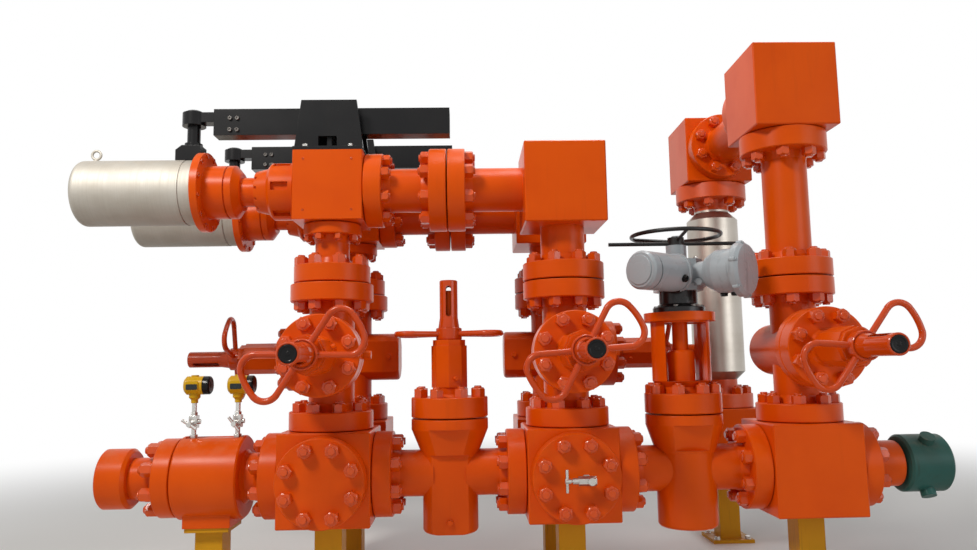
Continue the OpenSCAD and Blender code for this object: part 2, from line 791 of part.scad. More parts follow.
// T bar whose hub slides over a needle, with the bar across the stem
module t_bar(width) {
    difference() {
        union() {
            cylinder(r = 9, h = 20);
            translate([0, 0, 13]) rotate([0, 90, 0]) cylinder(r = 5.5, h = width, center = true);
        }
        translate([0, 0, -1]) cylinder(r = needle_r + spindle_clearance, h = 17);
    }
}

module run_valve_body() {
    color("orangered") translate([run_valve_x, 0, line_z]) valve_body(run_valve_len, body_r, true);
}

module run_valve_bonnet() {
    color("orangered") translate([run_valve_x, 0, line_z]) valve_bonnet();
}

module run_handwheel() {
    color("tomato") translate([run_valve_x, 0, line_z]) valve_handwheel(run_wheel_angle);
}

// Body of a front column valve, with its grease plug towards the outlet end
module front_valve_body(x, milled) {
    color("orangered") at_front(x) rotate([0, 0, 180])
        valve_body(column_valve_len, body_r, milled);
}

module front_bonnet(x) {
    color("orangered") at_front(x) valve_bonnet();
}

module front_handwheel(x, angle) {
    color("tomato") at_front(x) valve_handwheel(angle - 90);
}

module rear_inlet_place() {
    translate([inlet_x, leg_pitch, valve_z]) stem_to_left() children();
}

module rear_centre_place() {
    translate([0, leg_pitch, valve_z]) stem_to_right() children();
}

module electric_valve_body() {
    color("orangered") translate([electric_x, 0, line_z])
        valve_body(run_valve_len, electric_body_r, false);
}

// Bonnet that opens into a yoke of two legs, with the gland and the stem between them and
// a mounting plate for the actuator on top
module electric_valve_yoke() {
    top = bonnet_joint + bonnet_t;
    inner = yoke_r - yoke_wall;
    window_low = top + yoke_foot_h;
    window_h = yoke_top - window_head - window_low;
    color("orangered") translate([electric_x, 0, line_z])
    difference() {
        rotate_extrude()
            polygon([
                [0, bonnet_joint], [face_size(bonnet_od) / 2, bonnet_joint],
                [face_size(bonnet_od) / 2, bonnet_joint + face_h],
                [bonnet_od / 2 - rim_chamfer, bonnet_joint + face_h],
                [bonnet_od / 2, bonnet_joint + face_h + rim_chamfer],
                [bonnet_od / 2, top - rim_chamfer], [bonnet_od / 2 - rim_chamfer, top],
                [yoke_r - 22, top], [yoke_r - 22, top + 24], [yoke_r, window_low],
                [yoke_r, yoke_top], [yoke_plate_r, yoke_top],
                [yoke_plate_r, yoke_top + yoke_plate_t], [0, yoke_top + yoke_plate_t]
            ]);
        rotate_extrude()
            polygon([
                [yoke_gland_r, window_low - 4], [inner, window_low - 4],
                [inner, window_low + window_h + 3], [yoke_stem_r, window_low + window_h + 3],
                [yoke_stem_r, yoke_gland_top], [yoke_gland_r - 8, yoke_gland_top],
                [yoke_gland_r, yoke_gland_top - 8]
            ]);
        translate([0, 0, window_low]) difference() {
            translate([-window_w / 2, -yoke_r - 10, 0])
                cube([window_w, 2 * yoke_r + 20, window_h]);
            translate([0, 0, -1]) cylinder(r = inner - 1, h = window_h + 2);
        }
    }
}

// Multi-turn electric drive: gear case, worm shaft with the motor at the front left, and
// switch case at the front right
module electric_actuator() {
    foot = line_z + yoke_top + yoke_plate_t;
    neck_r = motor_r * 0.69;
    worm_end = drive_case_w * 0.58;
    switch_r = switch_disc_r * 0.82;
    color("lightsteelblue") translate([electric_x, 0, 0]) {
        rotate_extrude()
            polygon([
                [0, foot], [drive_seat_r, foot], [drive_seat_r, foot + drive_seat_t],
                [drive_neck_r, foot + drive_seat_t + 14], [drive_neck_r, case_low + 14],
                [0, case_low + 14]
            ]);
        translate([0, 0, case_low]) linear_extrude(drive_case_h)
            chamfered_square(drive_case_w, drive_case_w / 5);
        translate([0, 0, case_top - 6]) cylinder(r = 40, h = drive_neck_top - case_top + 6);
        translate([0, 0, drive_neck_top - 1]) cylinder(r = drive_spindle_r, h = drive_hub_len + 8);
        translate([0, 0, drive_z]) rotate([0, 0, motor_angle])
            translate([0, worm_offset, 0]) rotate([0, 90, 0])
            rotate_extrude()
            polygon([
                [0, -worm_end], [neck_r - 8, -worm_end], [neck_r, 8 - worm_end],
                [neck_r, motor_start], [motor_r + 6, motor_start],
                [motor_r + 6, motor_start + 12], [motor_r, motor_start + 12],
                [motor_r, motor_reach - 46], [motor_r - 4, motor_reach - 46],
                [motor_r - 4, motor_reach - 40], [motor_r, motor_reach - 40],
                [motor_r, motor_reach - 10], [motor_r - 8, motor_reach], [0, motor_reach]
            ]);
        translate([0, 0, drive_z]) rotate([0, 0, switch_angle]) rotate([0, 90, 0])
            rotate_extrude()
            polygon([
                [0, 30], [switch_r * 0.55, 30], [switch_r * 0.55, switch_reach - 154],
                [switch_r * 0.72, switch_reach - 154], [switch_r, switch_reach - 112],
                [switch_r, switch_reach - 40], [switch_disc_r, switch_reach - 34],
                [switch_disc_r, switch_reach - 12], [switch_disc_r - 10, switch_reach],
                [0, switch_reach]
            ]);
        translate([48, -drive_case_w / 2 + 4, case_low + 28]) rotate([90, 0, 0])
            cylinder(r = 14, h = 34, $fn = 6);
    }
}

// Dished ring on three arms, with a straight bar across its hub
module actuator_handwheel() {
    rim = drive_wheel_r - drive_wheel_rod / 2;
    slope = atan(drive_wheel_dish / rim);
    color("dimgray")
    translate([electric_x, 0, drive_neck_top + hub_gap + drive_hub_len / 2])
    difference() {
        union() {
            translate([0, 0, drive_wheel_dish]) rotate_extrude()
                translate([rim, 0]) circle(d = drive_wheel_rod, $fn = 24);
            for (turn = [30, 150, 270]) rotate([0, 0, turn]) rotate([0, 90 - slope, 0])
                cylinder(d = drive_wheel_rod - 3, h = rim / cos(slope), $fn = 24);
            translate([0, 0, -drive_hub_len / 4]) rotate([0, 90, 0])
                cylinder(d = drive_wheel_rod - 1, h = 2 * drive_bar_reach, center = true, $fn = 24);
            cylinder(r = 2 * drive_spindle_r, h = drive_hub_len, center = true);
        }
        cylinder(r = drive_spindle_r + spindle_clearance, h = 2 * drive_hub_len, center = true);
    }
}

module choke_inlet_spools() {
    color("orangered")
    for (y = [0, leg_pitch]) translate([inlet_x, y, valve_top])
        spool(choke_bottom - valve_top, choke_foot_od, flange_t, choke_flange_od,
            choke_flange_t, choke_neck_od);
}

module choke_bodies() {
    color("orangered")
    for (y = [0, leg_pitch]) translate([inlet_x, y, choke_bottom])
        linear_extrude(choke_h) chamfered_square(choke_w, 3);
}

// Union nut, gland, neck and coupling housing of each choke, towards the inlet end
module choke_bonnets() {
    color("orangered")
    for (y = [0, leg_pitch]) translate([inlet_x, y, choke_z]) rotate([0, -90, 0])
    difference() {
        rotate_extrude()
            polygon([
                [0, choke_w / 2], [choke_nut_r - 6, choke_w / 2], [choke_nut_r, choke_w / 2 + 6],
                [choke_nut_r, nut_end - 12], [choke_nut_r - 12, nut_end],
                [gland_r, nut_end], [gland_end_r, gland_end], [choke_stem_r, gland_end],
                [choke_stem_r, choke_stem_end], [coupling_cone_r, choke_stem_end],
                [coupling_r, choke_stem_end + 24], [coupling_r, disc_end],
                [coupling_r - 5, disc_end], [coupling_r - 5, disc_end + 5],
                [coupling_r, disc_end + 5], [coupling_r, coupling_end],
                [actuator_flange_r, coupling_end], [actuator_flange_r, flange_end],
                [0, flange_end]
            ]);
        for (turn = [30:60:330]) rotate([0, 0, turn])
            translate([choke_nut_r - notch_depth, -notch_w / 2, choke_w / 2 + 22])
            cube([2 * notch_depth, notch_w, choke_nut_len - 42]);
        for (turn = [0:360 / gland_teeth:359]) rotate([0, 0, turn])
            translate([gland_end_r - 7, -5, gland_end - 12]) cube([20, 10, 20]);
    }
}

module choke_actuators() {
    edge = actuator_edge;
    color("lightgray")
    for (y = [0, leg_pitch]) translate([inlet_x - flange_end, y, choke_z]) rotate([0, -90, 0]) {
        rotate_extrude()
            polygon(concat(
                [[0, 0], [actuator_r - 1, 0], [actuator_r - 1, 50], [actuator_r - 3, 50],
                 [actuator_r - 3, 54], [actuator_r, 54]],
                [for (a = [0:15:90]) [
                    actuator_r - edge + edge * cos(a), actuator_len - edge + edge * sin(a)
                ]],
                [[0, actuator_len]]
            ));
        translate([actuator_r - 4, 0, eye_x]) rotate([0, 90, 0]) {
            cylinder(r = 13, h = 9, $fn = 6);
            cylinder(r = eye_rod / 2 + 2, h = 14);
            translate([0, 0, 14 + eye_r]) rotate([90, 0, 0]) rotate_extrude()
                translate([eye_r, 0]) circle(d = eye_rod, $fn = 24);
        }
    }
}

module choke_outlet_spools() {
    start = inlet_x + choke_w / 2;
    finish = run_valve_x;
    color("orangered")
    for (y = [0, leg_pitch]) translate([start, y, choke_z]) rotate([0, 90, 0])
        spool(finish - start, choke_side_od, flange_t, outlet_flange_od, flange_t, neck_od);
}

// Elbow cube with the flanged pipe that enters it and the flanged pipe that drops from it
module elbow_blocks() {
    enter = -elbow_w / 2 - run_valve_x;
    drop = choke_z - elbow_w / 2 - valve_top;
    color("orangered")
    for (y = [0, leg_pitch]) translate([0, y, 0]) {
        translate([0, 0, choke_z]) forged_block(elbow_w);
        translate([run_valve_x, 0, choke_z]) rotate([0, 90, 0]) {
            flange(outlet_flange_od, flange_t, neck_od);
            cylinder(d = neck_od, h = enter + 10);
        }
        translate([0, 0, valve_top]) {
            flange(flange_od, flange_t, neck_od);
            cylinder(d = neck_od, h = drop + 10);
        }
    }
}

// Saddle, trapezoid cheeks with a web between them, and the beam that the web carries
module support_beams() {
    inner = saddle_w - 2 * cheek_inset - 2 * cheek_t;
    low = choke_top + saddle_t;
    eye_top = beam_z + 4 + tongue_h;
    color("dimgray")
    for (y = [0, leg_pitch]) translate([inlet_x, y, 0]) {
        translate([-saddle_w / 2, -saddle_w / 2, choke_top])
            cube([saddle_w, saddle_w, saddle_t]);
        for (side = [-1, 1])
            translate([0, side * (inner + cheek_t) / 2, low])
            rotate([90, 0, 0]) linear_extrude(cheek_t, center = true)
            difference() {
                polygon([
                    [-saddle_w / 2, -1], [saddle_w / 2, -1],
                    [saddle_top_w / 2, cheek_h], [-saddle_top_w / 2, cheek_h]
                ]);
                translate([-saddle_w * 0.15, 8]) square([saddle_w * 0.27, 38]);
            }
        translate([-cheek_t / 2, -inner / 2 - 1, low - 1])
            cube([cheek_t, inner + 2, cheek_h - 20]);
        difference() {
            translate([-beam_left, -beam_w / 2, beam_z - beam_h / 2])
                cube([beam_left + beam_right, beam_w, beam_h]);
            for (start = [-beam_left - 1, cheek_t])
                translate([start, -beam_w / 2 + beam_wall, beam_z - beam_h / 2 + beam_wall])
                cube([
                    (start > 0 ? beam_right : beam_left) - cheek_t + 1,
                    beam_w - 2 * beam_wall, beam_h - 2 * beam_wall
                ]);
        }
        difference() {
            union() {
                translate([-rod_x, -beam_w / 2 + beam_wall - 1, eye_top - tongue_h - 1])
                    cube([rod_x - beam_left + 60, beam_w - 2 * beam_wall + 2, tongue_h]);
                translate([-rod_x, 0, eye_top - tongue_eye_h])
                    cylinder(r = tongue_eye_r, h = tongue_eye_h);
            }
            translate([-rod_x, 0, eye_top - tongue_eye_h - 1])
                cylinder(r = rod_r + 0.3, h = tongue_eye_h + 2);
        }
    }
}

// Capped rod through the eye of each beam, with a foot on the actuator's cylinder
module suspension_rods() {
    foot_top = choke_z + actuator_r + rod_foot_h;
    cap_base = beam_z + 4 + tongue_h;
    color("gray")
    for (y = [0, leg_pitch]) translate([inlet_x - rod_x, y, 0]) {
        translate([0, 0, foot_top - 1])
            cylinder(r = rod_r, h = cap_base + 1 - foot_top);
        translate([0, 0, foot_top - 1]) cylinder(r = rod_r + 9, h = 13);
        translate([0, 0, cap_base]) rotate_extrude()
            polygon([
                [0, 0], [rod_cap_r, 0], [rod_cap_r, rod_cap_h * 0.4],
                [rod_cap_r - 10, rod_cap_h], [0, rod_cap_h]
            ]);
        difference() {
            translate([-rod_offset, rod_foot_w / 2, choke_z]) rotate([90, 0, 0])
                linear_extrude(rod_foot_w)
                polygon([
                    [-rod_foot_len / 2, 0], [rod_foot_len / 2, 0],
                    [rod_foot_len / 2, foot_top - choke_z], [-rod_foot_len / 4, foot_top - choke_z],
                    [-rod_foot_len / 2, foot_top - choke_z - rod_foot_h / 3]
                ]);
            translate([-rod_foot_len, 0, choke_z]) rotate([0, 90, 0])
                cylinder(r = actuator_r + 0.3, h = 2 * rod_foot_len);
            translate([-rod_foot_len, -rod_foot_w, choke_z - 1])
                cube([2 * rod_foot_len, 2 * rod_foot_w, actuator_r * 0.9]);
        }
    }
}

module outlet_riser() {
    color("orangered") translate([outlet_x, 0, valve_top])
        spool(top_block_bottom - valve_top, flange_od, flange_t, crossover_flange_od,
            crossover_flange_t, neck_od);
}

module top_block() {
    color("orangered") translate([outlet_x, 0, crossover_z]) forged_block(top_block_w);
}

module crossover_spool() {
    color("orangered") translate([outlet_x, top_block_w / 2, crossover_z]) rotate([-90, 0, 0])
        spool(meter_y - top_block_w, flange_od, flange_t, flange_od, flange_t, neck_od);
}

module meter_block() {
    color("orangered") translate([outlet_x, meter_y, crossover_z]) forged_block(top_block_w);
}

// Vertical flow meter between the crossover and its foot block
module flow_meter() {
    len = top_block_bottom - block_top;
    low = flange_t + meter_case_low;
    high = len - crossover_flange_t - meter_case_high;
    color("silver") translate([outlet_x, meter_y, block_top]) {
        spool(len, flange_od, flange_t, meter_flange_od, crossover_flange_t, neck_od);
        rotate_extrude()
            polygon([
                [0, low], [neck_od / 2, low], [meter_r, low + meter_cone],
                [meter_r, high - meter_cone], [neck_od / 2, high], [0, high]
            ]);
    }
}

module meter_foot_block() {
    run_block(outlet_x, meter_y);
}

// Flanged sub with a shoulder that keeps the union nut
module outlet_sub() {
    length = sub_shoulder + shoulder_len;
    color("orangered") translate([sub_x, 0, line_z]) rotate([0, 90, 0])
    difference() {
        union() {
            flange(flange_od, flange_t, neck_od);
            cylinder(d = neck_od, h = sub_barrel);
            translate([0, 0, sub_barrel - 1]) cylinder(r = tail_r, h = sub_shoulder - sub_barrel + 2);
            translate([0, 0, sub_shoulder]) cylinder(r = shoulder_r, h = shoulder_len);
        }
        translate([0, 0, length - end_bore_depth]) cylinder(d = flow_bore, h = end_bore_depth + 1);
    }
}

// Hammer union nut with three lugs
module union_nut() {
    chamfer = 8;
    color("seagreen") translate([union_x, 0, line_z]) rotate([0, 90, 0]) {
        rotate_extrude()
            polygon([
                [tail_r + spindle_clearance, 0], [union_r - chamfer, 0], [union_r, chamfer],
                [union_r, union_len - chamfer], [union_r - chamfer, union_len],
                [shoulder_r + 6, union_len], [shoulder_r + 6, union_web],
                [tail_r + spindle_clearance, union_web]
            ]);
        for (turn = [0:120:240]) rotate([0, 0, turn + 95])
            translate([0, 0, union_len / 2]) rotate([0, 90, 0])
            translate([0, 0, union_r - 10]) cylinder(r = lug_r, h = lug_reach - union_r + 10);
    }
}

// Square post with a seat plate and an anchored base plate
module post(h) {
    difference() {
        translate([-base_w / 2, -base_w / 2, 0]) cube([base_w, base_w, base_t]);
        for (sx = [-1, 1], sy = [-1, 1])
            translate([sx * anchor_pitch / 2, sy * anchor_pitch / 2, -1])
            cylinder(r = anchor_r, h = base_t + 2, $fn = 32);
    }
    difference() {
        translate([-post_w / 2, -post_w / 2, base_t - 0.01])
            cube([post_w, post_w, h - 2 * base_t + 0.02]);
        translate([-post_w / 2 + post_wall, -post_w / 2 + post_wall, base_t])
            cube([post_w - 2 * post_wall, post_w - 2 * post_wall, h - 2 * base_t]);
    }
    translate([-base_w * 0.4, -base_w * 0.4, h - base_t]) cube([base_w * 0.8, base_w * 0.8, base_t]);
}

module support_posts() {
    color("goldenrod") {
        for (x = [inlet_x, 0], y = [0, leg_pitch]) translate([x, y, 0]) post(block_bottom);
        for (y = [0, meter_y]) translate([outlet_x, y, 0]) post(block_bottom);
        translate([gauge_x, 0, 0]) post(pad_top - pad_t);
    }
}

inlet_adapter();
gauge_spool();
pressure_transmitters();
gauge_valves();
gauge_handle(-1, left_bar_tilt);  // left_gauge_handle
gauge_handle(1, right_bar_tilt);  // right_gauge_handle
run_block(inlet_x, 0);  // front_inlet_block
run_block(0, 0);  // front_centre_block
run_block(outlet_x, 0);  // front_outlet_block
run_block(inlet_x, leg_pitch);  // rear_inlet_block
run_block(0, leg_pitch);  // rear_centre_block
meter_foot_block();
link_spools();
blind_flanges();
bleed_valve();
bleed_handle();
run_valve_body();
run_valve_bonnet();
run_handwheel();
front_valve_body(inlet_x, true);  // front_inlet_valve_body
front_bonnet(inlet_x);  // front_inlet_bonnet
front_handwheel(inlet_x, inlet_wheel_angle);  // front_inlet_handwheel
front_valve_body(0, true);  // front_centre_valve_body
front_bonnet(0);  // front_centre_bonnet
front_handwheel(0, centre_wheel_angle);  // front_centre_handwheel
front_valve_body(outlet_x, false);  // outlet_valve_body
front_bonnet(outlet_x);  // outlet_bonnet
front_handwheel(outlet_x, outlet_wheel_angle);  // outlet_handwheel
color("orangered") rear_inlet_place() valve_body(column_valve_len, body_r, true);  // rear_inlet_valve_body
color("orangered") rear_inlet_place() valve_bonnet();  // rear_inlet_bonnet
color("tomato") rear_inlet_place() valve_handwheel(rear_inlet_wheel_angle);  // rear_inlet_handwheel
color("orangered") rear_centre_place() valve_body(column_valve_len, body_r, true);  // rear_centre_valve_body
color("orangered") rear_centre_place() valve_bonnet();  // rear_centre_bonnet
color("tomato") rear_centre_place() valve_handwheel(rear_centre_wheel_angle);  // rear_centre_handwheel
electric_valve_body();
electric_valve_yoke();
electric_actuator();
actuator_handwheel();
choke_inlet_spools();
choke_bodies();
choke_bonnets();
choke_actuators();
choke_outlet_spools();
elbow_blocks();
support_beams();
suspension_rods();
outlet_riser();
top_block();
crossover_spool();
meter_block();
flow_meter();
outlet_sub();
union_nut();
support_posts();
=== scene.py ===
# %% [markdown]
# # A twin-leg choke manifold
# Two legs of forged cubes, gate valves and chokes bring the pressure of a well down, and a third
# column leads over to a vertical flow meter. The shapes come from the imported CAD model, where
# every node keeps its place. This lesson adds what a CAD model leaves out: paint and metal,
# studs and nuts, plugs, screws and weld beads, and then the light and the camera.
# All lengths are metres. X runs along the skid, Y to the rear and Z up.

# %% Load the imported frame
import bmesh
import bpy
import json
import math
from mathutils import Matrix, Vector


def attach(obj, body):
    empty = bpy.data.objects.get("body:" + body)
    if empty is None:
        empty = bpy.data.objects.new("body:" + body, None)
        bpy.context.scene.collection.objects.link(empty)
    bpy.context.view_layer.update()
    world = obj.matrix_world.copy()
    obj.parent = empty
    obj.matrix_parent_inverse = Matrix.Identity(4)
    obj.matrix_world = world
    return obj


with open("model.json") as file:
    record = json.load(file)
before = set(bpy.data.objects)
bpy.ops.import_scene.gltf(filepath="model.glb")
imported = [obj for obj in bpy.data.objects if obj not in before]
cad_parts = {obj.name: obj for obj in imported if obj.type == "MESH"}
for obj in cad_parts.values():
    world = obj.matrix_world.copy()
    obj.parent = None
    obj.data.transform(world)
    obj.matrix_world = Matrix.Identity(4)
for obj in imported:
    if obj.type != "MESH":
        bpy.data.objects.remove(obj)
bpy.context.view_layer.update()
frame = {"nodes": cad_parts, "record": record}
nodes = frame["nodes"]

# %% [markdown]
# ## Places that repeat from the CAD
# The script can't read the CAD source, so the lengths that many pieces share are named here
# once. A length that only one kind of piece needs stands beside that piece.

# %% Named lengths
COLUMN = 0.902                # from column to column along the skid
INLET_X, OUTLET_X = -COLUMN, COLUMN
LEG = 0.530                   # front leg to rear leg
METER_Y = 0.921               # front leg to flow meter
GAUGE_X = -1.338              # middle of the gauge spool
LINE_Z = 0.480                # height of the run
VALVE_Z = 0.925               # height of the column valves
CHOKE_Z = 1.571               # height of the chokes
CROSSOVER_Z = 1.945           # height of the crossover
BLOCK = 0.336 / 2             # half a cube of the run
X, Y, Z = (1, 0, 0), (0, 1, 0), (0, 0, 1)


def minus(axis):
    return tuple(-part for part in axis)


# %% [markdown]
# ## Helpers for nodes
# A material in Blender is a graph of nodes, and so is a rule for shapes. Short helpers keep the
# graphs readable: `put` makes a node and feeds its sockets, and the others are the sums, blends
# and noises that nearly every finish needs. A value can be a plain number or the output of
# another node.

# %% Put a node, feed a socket
COLOUR, NUMBER, VECTOR = "NodeSocketColor", "NodeSocketFloat", "NodeSocketVector"


def feed(tree, socket, value):
    if isinstance(value, bpy.types.NodeSocket):
        tree.links.new(value, socket)
    else:
        socket.default_value = value


def put(tree, kind, inputs=None, **settings):
    node = tree.nodes.new(kind)
    for key, value in settings.items():
        setattr(node, key, value)
    for key, value in (inputs or {}).items():
        feed(tree, node.inputs[key], value)
    return node


def calculate(tree, operation, first, second=0.0):
    return put(tree, "ShaderNodeMath", {0: first, 1: second}, operation=operation).outputs[0]


def product(tree, value, *factors):
    for factor in factors:
        value = calculate(tree, "MULTIPLY", value, factor)
    return value


def mix(tree, factor, first, second):
    return put(tree, "ShaderNodeMix", {0: factor, 6: first, 7: second}, data_type="RGBA").outputs[2]


print("socket kinds:", COLOUR, NUMBER, VECTOR)


# %% Noise, soft steps and the place of a point
def clouds(tree, place, scale, detail=4.0, rough=0.5):
    return put(tree, "ShaderNodeTexNoise", {
        "Vector": place, "Scale": scale, "Detail": detail, "Roughness": rough,
    }).outputs["Fac"]


def soft_step(tree, value, low, high):
    return put(tree, "ShaderNodeMapRange", {
        "Value": value, "From Min": low, "From Max": high,
    }, interpolation_type="SMOOTHSTEP").outputs["Result"]


def point_of(tree):
    return put(tree, "ShaderNodeTexCoord").outputs["Object"]


def stretched(tree, place, scale):
    return put(tree, "ShaderNodeVectorMath", {0: place, 1: scale}, operation="MULTIPLY").outputs[0]


def height_of(tree, vector):
    return put(tree, "ShaderNodeSeparateXYZ", {0: vector}).outputs["Z"]


def normal_of(tree):
    return put(tree, "ShaderNodeNewGeometry").outputs["Normal"]


print("patterns read the Object coordinates, so they stay on a wheel that turns")

# %% [markdown]
# ## Effects that several finishes share
# Paint on a skid is never one flat colour. It drifts from batch to batch and fades, dust settles
# on what looks up, runs dry below the joints, edges wear, and the sprayed film has the skin of
# an orange. One shader group for each effect can be placed in any material with its own
# values. The groups put out colours, masks and normals only: the shader stays in the material.

# %% A group with named sockets
def new_group(name, inputs, outputs, kind="ShaderNodeTree"):
    tree = bpy.data.node_groups.new(name, kind)
    for label, socket_kind, value in inputs:
        socket = tree.interface.new_socket(label, in_out="INPUT", socket_type=socket_kind)
        if value is not None:
            socket.default_value = value
    for label, socket_kind in outputs:
        tree.interface.new_socket(label, in_out="OUTPUT", socket_type=socket_kind)
    print("made the group", name)
    return tree, tree.nodes.new("NodeGroupInput").outputs, tree.nodes.new("NodeGroupOutput").inputs


def tint(tree, result, mask, under, over):
    feed(tree, result["Color"], mix(tree, mask, under, over))
    feed(tree, result["Mask"], mask)


def use(tree, group, values):
    return put(tree, "ShaderNodeGroup", values, node_tree=group).outputs


GREY = (0.5, 0.5, 0.5, 1)
TINTED = [("Color", COLOUR), ("Mask", NUMBER)]
print("an effect that tints puts out:", [label for label, kind in TINTED])


# %% Colour drift: broad clouds between a fresh and a faded colour
def make_drift():
    tree, given, result = new_group("Colour Drift", [
        ("Fresh", COLOUR, GREY), ("Faded", COLOUR, GREY), ("Amount", NUMBER, 0.3),
        ("Scale", NUMBER, 5.0),
    ], TINTED)
    broad = soft_step(tree, clouds(tree, point_of(tree), given["Scale"], 5.0), 0.35, 0.7)
    mask = product(tree, broad, given["Amount"])
    tint(tree, result, mask, given["Fresh"], given["Faded"])
    return tree


DRIFT = make_drift()


# %% Settled dust: patches on faces that look up
def make_dust():
    tree, given, result = new_group("Settled Dust", [
        ("Color", COLOUR, GREY), ("Dust", COLOUR, (0.55, 0.36, 0.22, 1)), ("Amount", NUMBER, 0.2),
    ], TINTED)
    upward = soft_step(tree, height_of(tree, normal_of(tree)), 0.35, 1.0)
    patches = soft_step(tree, clouds(tree, point_of(tree), 22.0, 6.0, 0.65), 0.42, 0.68)
    mask = product(tree, upward, patches, given["Amount"])
    tint(tree, result, mask, given["Color"], given["Dust"])
    return tree


DUST = make_dust()


# %% Dried runs: long thin stains down the steep faces
def make_runs():
    tree, given, result = new_group("Dried Runs", [
        ("Color", COLOUR, GREY), ("Stain", COLOUR, (0.03, 0.02, 0.015, 1)), ("Amount", NUMBER, 0.2),
    ], TINTED)
    place = point_of(tree)
    streaks = clouds(tree, stretched(tree, place, (46.0, 46.0, 2.4)), 1.0, 5.0, 0.6)
    where = soft_step(tree, clouds(tree, place, 3.5, 2.0), 0.46, 0.66)
    upright = calculate(tree, "ABSOLUTE", height_of(tree, normal_of(tree)))
    steep = calculate(tree, "SUBTRACT", 1.0, upright)
    mask = product(tree, soft_step(tree, streaks, 0.52, 0.72), where, steep, given["Amount"])
    tint(tree, result, mask, given["Color"], given["Stain"])
    return tree


RUNS = make_runs()


# %% Worn edges: the Bevel node finds them, and rounds their shine as well
def make_edges():
    tree, given, result = new_group("Worn Edges", [
        ("Color", COLOUR, GREY), ("Bare", COLOUR, GREY), ("Width", NUMBER, 0.003),
        ("Amount", NUMBER, 0.5),
    ], TINTED + [("Normal", VECTOR)])
    rounded = put(tree, "ShaderNodeBevel", {"Radius": given["Width"]}, samples=4).outputs["Normal"]
    same = put(tree, "ShaderNodeVectorMath", {0: rounded, 1: normal_of(tree)},
               operation="DOT_PRODUCT").outputs["Value"]
    turned_away = soft_step(tree, calculate(tree, "SUBTRACT", 1.0, same), 0.02, 0.2)
    chips = soft_step(tree, clouds(tree, point_of(tree), 60.0, 4.0, 0.6), 0.40, 0.62)
    mask = product(tree, turned_away, chips, given["Amount"])
    tint(tree, result, mask, given["Color"], given["Bare"])
    feed(tree, result["Normal"], rounded)
    return tree


EDGES = make_edges()


# %% Bumps: orange peel is the skin of a sprayed film
def rough_up(tree, given, result, heights, distance):
    bump = put(tree, "ShaderNodeBump", {
        "Strength": given["Strength"], "Distance": distance, "Height": heights,
        "Normal": given["Normal"],
    })
    feed(tree, result["Normal"], bump.outputs["Normal"])


def make_peel():
    tree, given, result = new_group("Orange Peel", [
        ("Normal", VECTOR, Z), ("Strength", NUMBER, 0.05), ("Waves", NUMBER, 140.0),
    ], [("Normal", VECTOR)])
    film = clouds(tree, point_of(tree), given["Waves"], 3.0)
    rough_up(tree, given, result, film, 0.002)
    return tree


PEEL = make_peel()


# %% Tool marks: rings that a lathe leaves around its axis
def make_tool_marks():
    tree, given, result = new_group("Tool Marks", [
        ("Pitch", VECTOR, (3.0, 3.0, 700.0)), ("Normal", VECTOR, Z), ("Strength", NUMBER, 0.1),
    ], [("Mask", NUMBER), ("Normal", VECTOR)])
    rings = clouds(tree, stretched(tree, point_of(tree), given["Pitch"]), 1.0, 2.0)
    feed(tree, result["Mask"], soft_step(tree, rings, 0.35, 0.65))
    rough_up(tree, given, result, rings, 0.0005)
    return tree


TOOL_MARKS = make_tool_marks()

# %% [markdown]
# ## Enamels
# The castings, wheels, posts and drive are sprayed with two-part enamel: a smooth, hard film
# with a tight shine. One function chains the effects from colour to normal, and each enamel is
# a line of values: the paint as it was sprayed, its faded tone and what shows where it is worn.
# Uniform numbers, such as the specular level, are set on the shader's own sockets, because an
# export keeps them only there.

# %% One enamel
def new_material(name):
    material = bpy.data.materials.new(name)
    material.use_nodes = True
    print("made the material", name)
    return material, material.node_tree, material.node_tree.nodes["Principled BSDF"]


def enamel(name, paint, faded, bare, rough=0.28, drift=0.4, dust=0.15, runs=0.06, wear=0.3,
           peel=0.05, specular=0.15):
    material, tree, shader = new_material(name)
    shader.inputs["Specular IOR Level"].default_value = specular
    base = use(tree, DRIFT, {"Fresh": (*paint, 1), "Faded": (*faded, 1), "Amount": drift})
    stained = use(tree, RUNS, {"Color": base["Color"], "Amount": runs})
    dusty = use(tree, DUST, {"Color": stained["Color"], "Amount": dust})
    worn = use(tree, EDGES, {"Color": dusty["Color"], "Bare": (*bare, 1), "Amount": wear})
    skin = use(tree, PEEL, {"Normal": worn["Normal"], "Strength": peel})
    duller = calculate(tree, "ADD", product(tree, dusty["Mask"], 0.9),
                       product(tree, base["Mask"], 0.1))
    feed(tree, shader.inputs["Base Color"], worn["Color"])
    feed(tree, shader.inputs["Roughness"], calculate(tree, "ADD", duller, rough))
    feed(tree, shader.inputs["Normal"], skin["Normal"])
    return material


ORANGE, ORANGE_FADED = (0.74, 0.090, 0.001), (0.62, 0.060, 0.001)
CASTING_ORANGE = enamel("Casting Orange", ORANGE, ORANGE_FADED, (0.40, 0.040, 0.003))
